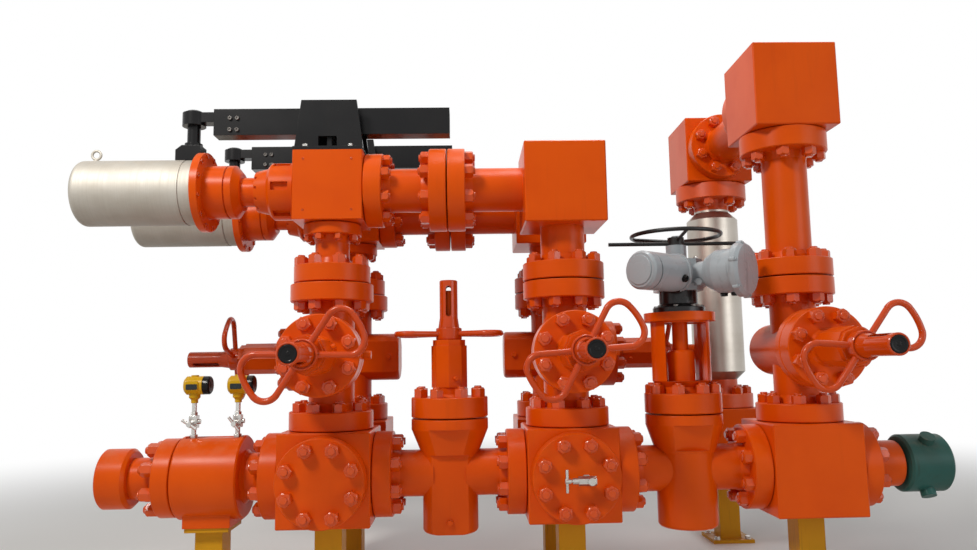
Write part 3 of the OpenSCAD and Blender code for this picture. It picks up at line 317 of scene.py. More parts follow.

# %% [markdown]
# The wheels' paint is a little deeper than the castings', and more worn where hands turn them. The
# nuts are painted with the flanges and lose their paint at the corners, where a wrench grips them.

# %% The other enamels
WHEEL_ORANGE = enamel("Wheel Orange", (0.62, 0.062, 0.002), (0.48, 0.042, 0.002),
                      (0.24, 0.024, 0.005), rough=0.16, wear=0.6, dust=0.1, specular=0.30)
NUT_ORANGE = enamel("Nut Orange", (0.72, 0.084, 0.002), (0.58, 0.054, 0.002),
                    (0.26, 0.040, 0.010), rough=0.14, wear=0.7, specular=0.40, runs=0.3)
POST_YELLOW = enamel("Post Yellow", (0.62, 0.30, 0.008), (0.48, 0.22, 0.010),
                     (0.20, 0.12, 0.03), rough=0.38, runs=0.5, dust=0.3, wear=0.7)
BEAM_BLACK = enamel("Beam Black", (0.0060, 0.0060, 0.0068), (0.013, 0.012, 0.012),
                    (0.10, 0.10, 0.10), rough=0.24, dust=0.12, wear=0.5, specular=0.22)
WHEEL_BLACK = enamel("Drive Wheel Black", (0.010, 0.010, 0.010), (0.022, 0.020, 0.018),
                     (0.14, 0.13, 0.12), rough=0.30, wear=0.8, specular=0.30)
HEAD_YELLOW = enamel("Transmitter Yellow", (0.68, 0.40, 0.010), (0.58, 0.30, 0.010),
                     (0.34, 0.18, 0.02), rough=0.26, drift=0.5, dust=0.2)
UNION_GREEN = enamel("Union Green", (0.030, 0.115, 0.098), (0.040, 0.085, 0.066),
                     (0.12, 0.085, 0.050), rough=0.34, drift=0.8, runs=0.6, wear=0.9, peel=0.10)

# %% [markdown]
# The electric drive's cases are pale grey-blue. The drive is one CAD node, and its material
# turns black near the stem and below the gear case.

# %% Drive enamel, black near the stem below the gear case
STEM_X = COLUMN / 2
BASE_R, BASE_TOP = 0.108, 1.1545
DRIVE_BLACK = (0.014, 0.013, 0.013, 1)


def paint_over(material, mask, colour):
    tree = material.node_tree
    base = tree.nodes["Principled BSDF"].inputs["Base Color"]
    feed(tree, base, mix(tree, mask, base.links[0].from_socket, colour))


def make_drive_grey():
    material = enamel("Drive Grey", (0.37, 0.405, 0.43), (0.30, 0.33, 0.35), (0.12, 0.13, 0.14),
                      rough=0.26, drift=0.3, dust=0.2, runs=0.3, peel=0.10, specular=0.35)
    tree = material.node_tree
    place = point_of(tree)
    middle = put(tree, "ShaderNodeVectorMath", {0: place, 1: (STEM_X, 0, 0)}, operation="SUBTRACT")
    flat = stretched(tree, middle.outputs[0], (1, 1, 0))
    reach = put(tree, "ShaderNodeVectorMath", {0: flat}, operation="LENGTH").outputs["Value"]
    near = calculate(tree, "LESS_THAN", reach, BASE_R)
    low = calculate(tree, "LESS_THAN", height_of(tree, place), BASE_TOP)
    paint_over(material, product(tree, near, low), DRIVE_BLACK)
    return material


DRIVE_GREY = make_drive_grey()
print("black below", BASE_TOP, "m, within", BASE_R, "m of the stem")

# %% [markdown]
# ## Metals
# The choke actuators are satin nickel, the taps and bolts bright steel, and the meter's case
# stainless steel turned on a lathe. Bare metal takes its colour from what it reflects, so the
# effect that matters is the tool marks: they spread the reflection across the rings.

# %% One turned metal
def metal(name, colour, stained, rough, pitch, marks=0.12):
    material, tree, shader = new_material(name)
    shader.inputs["Metallic"].default_value = 1.0
    base = use(tree, DRIFT, {
        "Fresh": (*colour, 1), "Faded": (*stained, 1), "Amount": 0.5, "Scale": 9.0,
    })
    dusty = use(tree, DUST, {"Color": base["Color"], "Amount": 0.1})
    worn = use(tree, EDGES, {
        "Color": dusty["Color"], "Bare": (*colour, 1), "Width": 0.002, "Amount": 0.3,
    })
    rings = use(tree, TOOL_MARKS, {"Pitch": pitch, "Normal": worn["Normal"], "Strength": marks})
    spread = calculate(tree, "ADD", product(tree, rings["Mask"], 0.10),
                       product(tree, dusty["Mask"], 0.8))
    feed(tree, shader.inputs["Base Color"], worn["Color"])
    feed(tree, shader.inputs["Roughness"], calculate(tree, "ADD", spread, rough))
    feed(tree, shader.inputs["Normal"], rings["Normal"])
    return material


ABOUT_X, ABOUT_Z = (900.0, 3.0, 3.0), (3.0, 3.0, 900.0)
SATIN_NICKEL = metal("Satin Nickel", (0.49, 0.46, 0.41), (0.40, 0.36, 0.30), 0.58, ABOUT_X)
BRIGHT_STEEL = metal("Bright Steel", (0.62, 0.61, 0.58), (0.40, 0.38, 0.35), 0.24, ABOUT_Z)
DARK_STEEL = metal("Dark Steel", (0.16, 0.15, 0.14), (0.09, 0.08, 0.075), 0.34, ABOUT_Z)

# %% [markdown]
# The meter is one CAD node as well: its case is bare, and its end flanges carry the same orange
# as the castings. Two heights divide them. A mask that is one on paint and zero on metal
# drives the colour and, turned round, the Metallic socket.

# %% Meter steel with painted ends
CASE_LOW, CASE_HIGH = 0.788, 1.651    # where the case's cones meet the painted necks


def make_meter_steel():
    material = metal("Meter Steel", (0.47, 0.43, 0.38), (0.36, 0.31, 0.26), 0.34, ABOUT_Z,
                     marks=0.03)
    tree = material.node_tree
    height = height_of(tree, point_of(tree))
    low = calculate(tree, "LESS_THAN", height, CASE_LOW)
    high = calculate(tree, "GREATER_THAN", height, CASE_HIGH)
    painted = calculate(tree, "ADD", low, high)
    paint = use(tree, DRIFT, {"Fresh": (*ORANGE, 1), "Faded": (*ORANGE_FADED, 1), "Amount": 0.4})
    paint_over(material, painted, paint["Color"])
    metallic = tree.nodes["Principled BSDF"].inputs["Metallic"]
    feed(tree, metallic, calculate(tree, "SUBTRACT", 1.0, painted))
    return material


METER_STEEL = make_meter_steel()
print("painted below", CASE_LOW, "and above", CASE_HIGH)

# %% [markdown]
# There is a finish for each of the record's slots. A CAD node's mesh is never changed; only its
# material slots are filled.

# %% Fill the slots of the CAD nodes
FINISHES = {
    "orange_paint": CASTING_ORANGE, "wheel_paint": WHEEL_ORANGE, "yellow_paint": POST_YELLOW,
    "black_steel": BEAM_BLACK, "drive_grey": DRIVE_GREY, "silver_case": SATIN_NICKEL,
    "transmitter": HEAD_YELLOW, "steel": BRIGHT_STEEL, "union_green": UNION_GREEN,
    "wheel_black": WHEEL_BLACK,
}
slot_of = {part["node"]: part["material_slot"] for part in frame["record"]["subparts"]}


def dress(name, material):
    thing = nodes[name]
    if not thing.material_slots:
        thing.data.materials.append(None)
    for slot in thing.material_slots:
        slot.material = material


for name in nodes:
    dress(name, FINISHES[slot_of[name]])
dress("flow_meter", METER_STEEL)
print("dressed", len(nodes), "nodes in", len(FINISHES) + 1, "finishes")

# %% [markdown]
# ## Fasteners
# Every flange of this pressure class is drawn together by eight studs, each with a heavy
# hexagon nut. Hundreds of them show, so each template has only a few dozen faces: twelve
# points to a ring, six on the corners and six on the middles of the flats. Pulling the corner
# points of the upper ring down gives the curved edge that a chamfer leaves on a real nut.

# %% Rings of points, closed at both ends
def bridge(bm, rows):
    for low, high in zip(rows, rows[1:]):
        for k in range(len(low)):
            n = (k + 1) % len(low)
            bm.faces.new((low[k], low[n], high[n], high[k]))
    bm.faces.new(reversed(rows[0]))
    bm.faces.new(rows[-1])


def ring_mesh(name, rings, sides):
    mesh = bpy.data.meshes.new(name)
    bm = bmesh.new()
    rows = []
    for ring in rings:
        row = []
        for k in range(sides):
            angle = 2 * math.pi * k / sides
            radius, height = ring(angle) if callable(ring) else ring
            row.append(bm.verts.new((radius * math.cos(angle), radius * math.sin(angle), height)))
        rows.append(row)
    bridge(bm, rows)
    bm.to_mesh(mesh)
    bm.free()
    smooth(mesh)
    return mesh


def smooth(mesh):
    mesh.polygons.foreach_set("use_smooth", [True] * len(mesh.polygons))
    bm = bmesh.new()
    bm.from_mesh(mesh)
    for edge in bm.edges:
        if len(edge.link_faces) == 2:
            edge.smooth = edge.calc_face_angle(0.0) < SHARP
    bm.to_mesh(mesh)
    bm.free()


SHARP = math.radians(28)      # an edge that turns by more stays a crease
TWELVE = 12                   # points to a ring: corners and middles of a hexagon's flats
print("points to a ring:", TWELVE)


# %% A hexagon ring with its corners pulled down
def hexagon(flats, height, dip=0.0):
    corner = flats / 2 / math.cos(math.pi / 6)

    def ring(angle):
        turn = (angle + math.pi / 6) % (math.pi / 3) - math.pi / 6
        radius = flats / 2 / math.cos(turn)
        share = (radius - flats / 2) / (corner - flats / 2)
        return radius, height - dip * share

    return ring


print("a corner of a 46 mm nut is", round(hexagon(0.046, 0)(math.pi / 6)[0] * 1000, 1), "mm out")

# %% [markdown]
# The base of each template is sunk half a millimetre, so that no light shows between a nut and
# its flange. The nut below is the 46 mm heavy series, and its stud stands out by two turns.

# %% Templates: nut on its stud, bolt on its washer, socket screw, cover lug
SUNK = -0.0005
NUT_FLATS, NUT_HEIGHT = 0.046, 0.033
STUD_R, STUD_OUT = 0.0143, 0.007


def new_object(name, data):
    thing = bpy.data.objects.new(name, data)
    bpy.context.scene.collection.objects.link(thing)
    return thing


def template(name, rings):
    thing = new_object(name, ring_mesh(name, rings, TWELVE))
    print(name, "has", len(thing.data.polygons), "faces")
    return thing


STUD_END = template("stud_end", [
    hexagon(NUT_FLATS, SUNK), hexagon(NUT_FLATS, NUT_HEIGHT - 0.0008, 0.0042),
    (NUT_FLATS * 0.45, NUT_HEIGHT), (STUD_R, NUT_HEIGHT),
    (STUD_R, NUT_HEIGHT + STUD_OUT - 0.002), (STUD_R - 0.002, NUT_HEIGHT + STUD_OUT),
])
BOLT_HEAD = template("bolt_head", [
    (0.016, SUNK), (0.016, 0.0025), hexagon(0.024, 0.0025), hexagon(0.024, 0.0125, 0.0014),
    (0.0108, 0.0130),
])
SOCKET_SCREW = template("socket_screw", [
    (0.008, SUNK), (0.008, 0.0068), (0.0072, 0.008), hexagon(0.0088, 0.008), hexagon(0.0088, 0.003),
])
COVER_LUG = template("cover_lug", [
    (0.0095, -0.022), (0.0095, -0.001), (0.0086, 0.0), (0.0056, 0.0), (0.0056, 0.0040),
    (0.0046, 0.0050),
])

# %% [markdown]
# ## One tree for every bolt pattern
# A bolt circle follows a rule: so many holes on a circle, half a step off the vertical so that
# no hole lies lowest. Geometry Nodes suit such a rule. The tree takes one point for each
# joint, reads which way the joint faces, how wide its pattern is and how large its fasteners
# are, sets the circle on it and a fastener on each point of the circle. A wrench leaves every
# nut at its own angle, so each one gets a turn at random, from a fixed seed. Instances
# don't survive the export, so the tree ends by making them real and setting their paint.

# %% Read an attribute, face a way
def attribute(tree, name):
    return put(tree, "GeometryNodeInputNamedAttribute", {"Name": name},
               data_type="FLOAT_VECTOR").outputs["Attribute"]


def facing_way(tree, vector):
    return put(tree, "FunctionNodeAlignRotationToVector", {"Vector": vector}, axis="Z").outputs[0]


def about_axis(tree, angle):
    return put(tree, "FunctionNodeAxisAngleToRotation", {"Angle": angle}).outputs[0]


def turned_by(tree, rotation, angle):
    return put(tree, "FunctionNodeRotateRotation", {
        "Rotation": rotation, "Rotate By": about_axis(tree, angle),
    }, rotation_space="LOCAL").outputs[0]


def real_and_painted(tree, geometry, paint):
    real = put(tree, "GeometryNodeRealizeInstances", {"Geometry": geometry}).outputs[0]
    return put(tree, "GeometryNodeSetMaterial", {"Geometry": real, "Material": paint}).outputs[0]


def inputs_of(tree):
    sockets = tree.interface.items_tree
    return {item.name: item.identifier for item in sockets if item.in_out == "INPUT"}


print("rotations are turned about their own axis")


# %% The tree
SHAPE, WHOLE, THING = "NodeSocketGeometry", "NodeSocketInt", "NodeSocketObject"
PAINT = "NodeSocketMaterial"


def make_bolt_pattern():
    tree, given, result = new_group("Bolt Pattern", [
        ("Joints", SHAPE, None), ("Fastener", THING, None), ("Holes", WHOLE, 8),
        ("Random Turn", NUMBER, 6.283), ("Seed", WHOLE, 1), ("Paint", PAINT, None),
    ], [("Fasteners", SHAPE)], "GeometryNodeTree")
    way = facing_way(tree, attribute(tree, "facing"))
    half_step = calculate(tree, "DIVIDE", math.pi, given["Holes"])
    circle = put(tree, "GeometryNodeMeshCircle", {"Vertices": given["Holes"], "Radius": 0.5})
    pattern = put(tree, "GeometryNodeTransform", {
        "Geometry": circle.outputs["Mesh"], "Rotation": about_axis(tree, half_step),
    })
    circles = put(tree, "GeometryNodeInstanceOnPoints", {
        "Points": given["Joints"], "Instance": pattern.outputs["Geometry"], "Rotation": way,
        "Scale": attribute(tree, "spread"),
    })
    holes = put(tree, "GeometryNodeRealizeInstances", {"Geometry": circles.outputs["Instances"]})
    chance = put(tree, "FunctionNodeRandomValue", {
        3: given["Random Turn"], "Seed": given["Seed"],
    }, data_type="FLOAT")
    single = put(tree, "GeometryNodeObjectInfo", {"Object": given["Fastener"]})
    set_on = put(tree, "GeometryNodeInstanceOnPoints", {
        "Points": holes.outputs["Geometry"], "Instance": single.outputs["Geometry"],
        "Rotation": turned_by(tree, way, chance.outputs[1]), "Scale": attribute(tree, "size"),
    })
    shape = real_and_painted(tree, set_on.outputs["Instances"], given["Paint"])
    feed(tree, result["Fasteners"], shape)
    return tree


BOLT_PATTERN = make_bolt_pattern()
print("inputs:", list(inputs_of(BOLT_PATTERN)))

# %% [markdown]
# `run_tree` puts a tree on a mesh of points or edges, sets the inputs by their identifiers
# before anything is evaluated, and turns the result into a plain mesh. `fasten` writes the three
# attributes of each joint and names the piece, its body and its slot.

# %% From joints to one mesh
def keep(name, mesh, body="manifold", material=None):
    piece = new_object(name, mesh)
    if material:
        mesh.materials.append(material)
    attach(piece, body)


def run_tree(name, mesh, tree, values):
    holder = new_object(name + "_rule", mesh)
    modifier = holder.modifiers.new("rule", "NODES")
    modifier.node_group = tree
    for label, identifier in inputs_of(tree).items():
        if label in values:
            modifier[identifier] = values[label]
    evaluated = holder.evaluated_get(bpy.context.evaluated_depsgraph_get())
    result = bpy.data.meshes.new_from_object(evaluated)
    result.name = name
    bpy.data.objects.remove(holder)
    return result


def fasten(name, fastener, joints, paint, holes=8, seed=1):
    mesh = bpy.data.meshes.new(name + "_joints")
    mesh.from_pydata([joint[0] for joint in joints], [], [])
    for column, label in enumerate(("facing", "spread", "size"), start=1):
        values = mesh.attributes.new(label, "FLOAT_VECTOR", "POINT").data
        values.foreach_set("vector", [part for joint in joints for part in joint[column]])
    result = run_tree(name, mesh, BOLT_PATTERN, {
        "Fastener": fastener, "Holes": holes, "Seed": seed, "Paint": paint,
    })
    keep(name, result)
    print(name + ":", len(joints) * holes, "fasteners,", len(result.polygons), "faces")


# %% A joint is a circle or a rectangle of holes
def circle_at(centre, facing, diameter, size=1.0, stand=1.0):
    return tuple(centre), facing, (diameter, diameter, 1), (size, size, size * stand)


def rectangle_at(centre, facing, width, height, size=1.0, stand=1.0):
    root = math.sqrt(2)
    return tuple(centre), facing, (width * root, height * root, 1), (size, size, size * stand)


print("a circle:", circle_at((0, 0, 0), Z, 1))

# %% [markdown]
# ## Studs of the run
# The main flanges have a 248 mm bolt circle. A stud passes through a flange into its cube, or
# through both flanges of a pair, so nuts stand only where a wrench can reach them. The short
# link spools between the legs have lower nuts, because the real ones just fit.

# %% Run studs
CIRCLE = 0.248
FLANGE_T, LINK_T = 0.070, 0.060         # thickness of a main flange and of a link spool's
FLANGE_BACK = BLOCK + FLANGE_T          # from a cube's middle to the back of its flange
LINK_FRONT, LINK_REAR = BLOCK + LINK_T, LEG - BLOCK - LINK_T
LINK_STAND, COLLAR_STAND = 0.8, 1.35    # height of nuts against the usual ones
COLLAR_X, COLLAR_CIRCLE = -1.524, 0.232


def run_joints():
    joints = [
        circle_at((COLLAR_X, 0, LINE_Z), minus(X), COLLAR_CIRCLE, stand=COLLAR_STAND),
        circle_at((-COLUMN - FLANGE_BACK, 0, LINE_Z), minus(X), CIRCLE),
        circle_at((COLUMN + FLANGE_BACK, 0, LINE_Z), X, CIRCLE),
    ]
    for side in (-1, 1):
        joints.append(circle_at((side * FLANGE_BACK, 0, LINE_Z), (side, 0, 0), CIRCLE))
        joints.append(circle_at((side * (COLUMN - FLANGE_BACK), 0, LINE_Z), (-side, 0, 0), CIRCLE))
    for x in (INLET_X, 0.0):
        joints.append(circle_at((x, -FLANGE_BACK, LINE_Z), minus(Y), CIRCLE))
        joints.append(circle_at((x, LINK_FRONT, LINE_Z), Y, CIRCLE, stand=LINK_STAND))
        joints.append(circle_at((x, LINK_REAR, LINE_Z), minus(Y), CIRCLE, stand=LINK_STAND))
    return joints


fasten("run_studs", STUD_END, run_joints(), NUT_ORANGE, seed=1)

# %% [markdown]
# ## Studs of the columns
# Each column valve has a flange at its foot and one on its top joint. The two inlet columns
# step down to the smaller foot of the choke.

# %% Column studs
COLUMN_VALVE = 0.554          # length of a column valve
STEP_CIRCLE = 0.240           # joint above the valves of the two inlet columns
RUN_TOP = LINE_Z + BLOCK
COLUMN_TOP = RUN_TOP + COLUMN_VALVE
COLUMNS = [(INLET_X, 0), (0, 0), (OUTLET_X, 0), (INLET_X, LEG), (0, LEG)]


def column_joints():
    joints = [circle_at((OUTLET_X, METER_Y, RUN_TOP + FLANGE_T), Z, CIRCLE)]
    for x, y in COLUMNS:
        joint = STEP_CIRCLE if x == INLET_X else CIRCLE
        joints.append(circle_at((x, y, RUN_TOP + FLANGE_T), Z, CIRCLE))
        joints.append(circle_at((x, y, COLUMN_TOP - FLANGE_T), minus(Z), joint))
        joints.append(circle_at((x, y, COLUMN_TOP + FLANGE_T), Z, joint))
    return joints


fasten("column_studs", STUD_END, column_joints(), NUT_ORANGE, seed=2)

# %% [markdown]
# ## Studs of the chokes and the crossover
# The choke's foot is a smaller flange with 30 mm nuts. Its outlet is bolted to the elbow cube's
# pipe through a pair of large flanges that stand free between them.

# %% Choke and crossover studs
NUT_30, NUT_41 = 30 / 46, 41 / 46    # smaller nuts as a share of the 46 mm nut
FOOT_Z, FOOT_CIRCLE = 1.389, 0.186
CHOKE_OUT_X, CHOKE_OUT_CIRCLE = -0.700, 0.238
PAIR_LEFT, PAIR_RIGHT, PAIR_CIRCLE = -0.521, -0.381, 0.256
TOP_Z, RISER_CIRCLE, METER_CIRCLE = 1.701, 0.264, 0.280
CROSSOVER_Y = 0.234           # from the riser or the meter to the back of the crossover's flange


def upper_joints():
    joints = []
    for y in (0, LEG):
        joints.append(circle_at((INLET_X, y, FOOT_Z), minus(Z), FOOT_CIRCLE, NUT_30))
        joints.append(circle_at((CHOKE_OUT_X, y, CHOKE_Z), X, CHOKE_OUT_CIRCLE, NUT_41))
        joints.append(circle_at((PAIR_LEFT, y, CHOKE_Z), minus(X), PAIR_CIRCLE))
        joints.append(circle_at((PAIR_RIGHT, y, CHOKE_Z), X, PAIR_CIRCLE))
    joints.append(circle_at((OUTLET_X, 0, TOP_Z), minus(Z), RISER_CIRCLE))
    joints.append(circle_at((OUTLET_X, METER_Y, TOP_Z), minus(Z), METER_CIRCLE))
    joints.append(circle_at((OUTLET_X, CROSSOVER_Y, CROSSOVER_Z), Y, CIRCLE))
    joints.append(circle_at((OUTLET_X, METER_Y - CROSSOVER_Y, CROSSOVER_Z), minus(Y), CIRCLE))
    return joints


fasten("upper_studs", STUD_END, upper_joints(), NUT_ORANGE, seed=3)

# %% [markdown]
# ## Studs of the bonnets
# A gate valve's bonnet is the lid over its gate. The two valves of the run point up and the
# five of the columns point to where a hand can reach their wheels, so the same circle is
# repeated from a short table of centres and directions.

# %% Bonnet studs
BONNET_SEAT, BONNET_CIRCLE = 0.283, 0.236
VALVES = {
    "run": ((-STEM_X, 0, LINE_Z), Z),
    "electric": ((STEM_X, 0, LINE_Z), Z),
    "front_inlet": ((INLET_X, 0, VALVE_Z), minus(Y)),
    "front_centre": ((0, 0, VALVE_Z), minus(Y)),
    "outlet": ((OUTLET_X, 0, VALVE_Z), minus(Y)),
    "rear_inlet": ((INLET_X, LEG, VALVE_Z), minus(X)),
    "rear_centre": ((0, LEG, VALVE_Z), X),
}
bonnet_joints = [
    circle_at(Vector(centre) + Vector(facing) * BONNET_SEAT, facing, BONNET_CIRCLE)
    for centre, facing in VALVES.values()
]
fasten("bonnet_studs", STUD_END, bonnet_joints, NUT_ORANGE, seed=4)

# %% [markdown]
# ## Screws of the chokes and their supports
# Twelve bolts hold each nickel cylinder to its flange. The saddle of the black support is held
# down by four bolts on the ledge beside its cheeks, four countersunk screws mark the corners of
# the choke's body, and four more clamp the tongue inside the end of the beam.

# %% Choke, saddle and beam screws
CYLINDER_X, CYLINDER_CIRCLE = -1.384, 0.284
CYLINDER_SIZE, CYLINDER_STAND = 1.3, 0.45      # broad bolts that stand out less
SADDLE_TOP = 1.719
CHOKE_SIDE = 0.132
TONGUE_X, TONGUE_SIDE, TONGUE_Z = -1.286, 0.035, 1.8375
SADDLE_PATTERN = (0.172, 0.237, 0.80)          # width, height and size of the bolts
CORNER_PATTERN = (0.182, 0.196, 0.62, 0.25)    # the fourth is how far they stand out
TONGUE_PATTERN = (0.028, 0.047)
flange_joints, saddle_joints, corner_joints, tongue_joints = [], [], [], []
for y in (0, LEG):
    flange_joints.append(circle_at((CYLINDER_X, y, CHOKE_Z), X, CYLINDER_CIRCLE,
                                   CYLINDER_SIZE, CYLINDER_STAND))
    saddle_joints.append(rectangle_at((INLET_X, y, SADDLE_TOP), Z, *SADDLE_PATTERN))
    for side in (-1, 1):
        face = (0, side, 0)
        choke = (INLET_X, y + side * CHOKE_SIDE, CHOKE_Z)
        tongue = (TONGUE_X, y + side * TONGUE_SIDE, TONGUE_Z)
        corner_joints.append(rectangle_at(choke, face, *CORNER_PATTERN))
        tongue_joints.append(rectangle_at(tongue, face, *TONGUE_PATTERN))
fasten("choke_flange_bolts", SOCKET_SCREW, flange_joints, NUT_ORANGE, holes=12, seed=5)
fasten("saddle_bolts", BOLT_HEAD, saddle_joints, BRIGHT_STEEL, holes=4, seed=6)
fasten("choke_corner_screws", SOCKET_SCREW, corner_joints, NUT_ORANGE, holes=4, seed=7)
fasten("beam_screws", SOCKET_SCREW, tongue_joints, DARK_STEEL, holes=4, seed=8)

# %% [markdown]
# ## Anchor bolts of the posts
# Seven posts carry the run. Each stands on a base plate with four anchor bolts.

# %% Anchor bolts
POST_TOP, GAUGE_POST_TOP = LINE_Z - BLOCK, 0.3085
POSTS = [(GAUGE_X, 0, GAUGE_POST_TOP)]
POSTS += [(x, y, POST_TOP) for x, y in COLUMNS + [(OUTLET_X, METER_Y)]]
BASE_T, ANCHOR_PITCH = 0.016, 0.150
anchors = [rectangle_at((x, y, BASE_T), Z, ANCHOR_PITCH, ANCHOR_PITCH, 1.0, 1.1)
           for x, y, top in POSTS]
fasten("anchor_bolts", BOLT_HEAD, anchors, BRIGHT_STEEL, holes=4, seed=9)

# %% [markdown]
# ## Screws of the electric drive
# The drive's base is bolted to the yoke by eight bolts, its gear case has a lid with four
# screws, and the switch case is closed by a round cover whose rim carries six lugs.

# %% Drive screws
DRIVE = Vector((STEM_X, 0, 1.219))     # where the drive's axes cross
SWITCH_TURN = math.radians(-43)
SWITCH_WAY = Vector((math.cos(SWITCH_TURN), math.sin(SWITCH_TURN), 0))
SWITCH_LID, LID_CIRCLE = 0.280, 0.198  # the distance is from the stem's axis to the lugs' faces
BASE_Z, BASE_CIRCLE, BASE_SIZE = 1.091, 0.174, 34 / 46
GEAR_LID_Z, GEAR_LID_PITCH = 1.277, 0.118
base_joint = circle_at((STEM_X, 0, BASE_Z), Z, BASE_CIRCLE, BASE_SIZE)
gear_joint = rectangle_at((STEM_X, 0, GEAR_LID_Z), Z, GEAR_LID_PITCH, GEAR_LID_PITCH, 1.1)
lid_joint = circle_at(DRIVE + SWITCH_WAY * SWITCH_LID, tuple(SWITCH_WAY), LID_CIRCLE)
fasten("drive_base_bolts", BOLT_HEAD, [base_joint], DARK_STEEL, seed=10)
fasten("gear_case_screws", SOCKET_SCREW, [gear_joint], BRIGHT_STEEL, holes=4, seed=11)
fasten("switch_lid_lugs", COVER_LUG, [lid_joint], DRIVE_GREY, holes=6, seed=12)
for part in (STUD_END, BOLT_HEAD, SOCKET_SCREW, COVER_LUG):
    bpy.data.objects.remove(part)

# %% [markdown]
# ## Weld beads
# The posts are welded to their plates, and the cheeks to their saddle. A bead is a rounded rod
# that follows a path and swells with each dip of the filler, so a second tree follows edges:
# it walks along them in short steps, makes the bead a little thicker and thinner in turn with
# some chance in it, and sweeps a half-sunk circle along.

# %% The bead tree
RIPPLE, CHANCE = 2.1, 0.6     # turn of the sine from step to step, and the chance added to it
BEAD_SIDES = 8


def make_weld_bead():
    tree, given, result = new_group("Weld Bead", [
        ("Path", SHAPE, None), ("Radius", NUMBER, 0.005), ("Swell", NUMBER, 0.12),
        ("Step", NUMBER, 0.003), ("Seed", WHOLE, 1), ("Paint", PAINT, None),
    ], [("Bead", SHAPE)], "GeometryNodeTree")
    curve = put(tree, "GeometryNodeMeshToCurve", {"Mesh": given["Path"]}).outputs[0]
    steps = put(tree, "GeometryNodeResampleCurve", {"Curve": curve, "Length": given["Step"]},
                mode="LENGTH").outputs[0]
    index = put(tree, "GeometryNodeInputIndex").outputs[0]
    wave = calculate(tree, "SINE", product(tree, index, RIPPLE))
    chance = put(tree, "FunctionNodeRandomValue", {2: -CHANCE, 3: CHANCE, "Seed": given["Seed"]},
                 data_type="FLOAT").outputs[1]
    swell = product(tree, calculate(tree, "ADD", wave, chance), given["Swell"])
    radius = product(tree, calculate(tree, "ADD", swell, 1.0), given["Radius"])
    ring = put(tree, "GeometryNodeCurvePrimitiveCircle", {"Resolution": BEAD_SIDES, "Radius": 1.0})
    sweep = put(tree, "GeometryNodeCurveToMesh", {
        "Curve": steps, "Profile Curve": ring.outputs["Curve"], "Scale": radius,
        "Fill Caps": True,
    })
    soft = put(tree, "GeometryNodeSetShadeSmooth", {"Geometry": sweep.outputs["Mesh"]})
    feed(tree, result["Bead"], real_and_painted(tree, soft.outputs["Geometry"], given["Paint"]))
    return tree


WELD_BEAD = make_weld_bead()
print("bead inputs:", list(inputs_of(WELD_BEAD)))


# %% Beads of the posts and the cheeks
def weld(name, paths, paint, radius, seed):
    verts, edges = [], []
    for path, closed in paths:
        first = len(verts)
        verts += path
        edges += [(first + k, first + k + 1) for k in range(len(path) - 1)]
        if closed:
            edges.append((first + len(path) - 1, first))
    mesh = bpy.data.meshes.new(name + "_paths")
    mesh.from_pydata(verts, edges, [])
    result = run_tree(name, mesh, WELD_BEAD, {"Radius": radius, "Seed": seed, "Paint": paint})
    keep(name, result)
    print(name + ":", len(paths), "beads,", len(result.polygons), "faces")


def square_at(x, y, z, half):
    return [(x - half, y - half, z), (x + half, y - half, z), (x + half, y + half, z),
            (x - half, y + half, z)]


POST_HALF, POST_BEAD = 0.050, 0.0048
CHEEK_FACE, CHEEK_HALF, CHEEK_BEAD = 0.105, 0.066, 0.0050
post_paths = [(square_at(x, y, z, POST_HALF), True)
              for x, y, top in POSTS for z in (BASE_T, top - BASE_T)]
cheek_paths = []
for seam in [y + side * CHEEK_FACE for y in (0, LEG) for side in (-1, 1)]:
    ends = [(INLET_X + reach, seam, SADDLE_TOP) for reach in (-CHEEK_HALF, CHEEK_HALF)]
    cheek_paths.append((ends, False))
weld("post_welds", post_paths, POST_YELLOW, POST_BEAD, seed=21)
weld("cheek_welds", cheek_paths, BEAM_BLACK, CHEEK_BEAD, seed=22)

# %% [markdown]
# ## Plugs in the stem protectors
# The pipe on each wheel covers the stem as it rises, and a dark plug closes its end against
# rain. Seen from the front it is the black disc in the middle of a wheel. It is turned on a
# lathe, so a ring of points suits it: a thin disc with a rounded rim and a shallow dish. It
# rides on the wheel's body, so it turns with the wheel. The electric valve has none.

# %% Stand a turned shape on a place
def turned(name, rings, sides, place, facing, material, body="manifold"):
    mesh = ring_mesh(name, rings, sides)
    turn = Vector(facing).to_track_quat("Z", "Y").to_matrix().to_4x4()
    mesh.transform(Matrix.Translation(place) @ turn)
    keep(name, mesh, body, material)
    print(name, "at", [round(part, 3) for part in place])


PLUG_FLOOR = 0.728            # from a valve's middle to the floor of the protector's mouth
PLUG_SIDES = 32
PLUG = [(0.0275, SUNK), (0.0275, 0.0016), (0.0265, 0.0025), (0.0215, 0.0026), (0.0195, 0.0014),
        (0.0070, 0.0010), (0.0060, 0.0020), (0.0020, 0.0022)]
PLUG_BLACK = enamel("Plug Black", (0.006, 0.006, 0.0065), (0.013, 0.012, 0.012),
                    (0.04, 0.04, 0.04), rough=0.16, dust=0.1, wear=0.2, specular=0.16)
for valve, (centre, facing) in VALVES.items():
    if valve != "electric":
        place = Vector(centre) + Vector(facing) * PLUG_FLOOR
        turned(valve + "_plug", PLUG, PLUG_SIDES, place, facing, PLUG_BLACK,
               valve + "_handwheel")

# %% [markdown]
# ## Heads of the pressure transmitters
# Each yellow head has a window for its display and a black ribbed cap on the end that is
# unscrewed to wire it. The window is a thin pane with rounded corners on the raised frame. Its
# glass is smooth and dark, and only its Roughness has a pattern: a wiped haze.

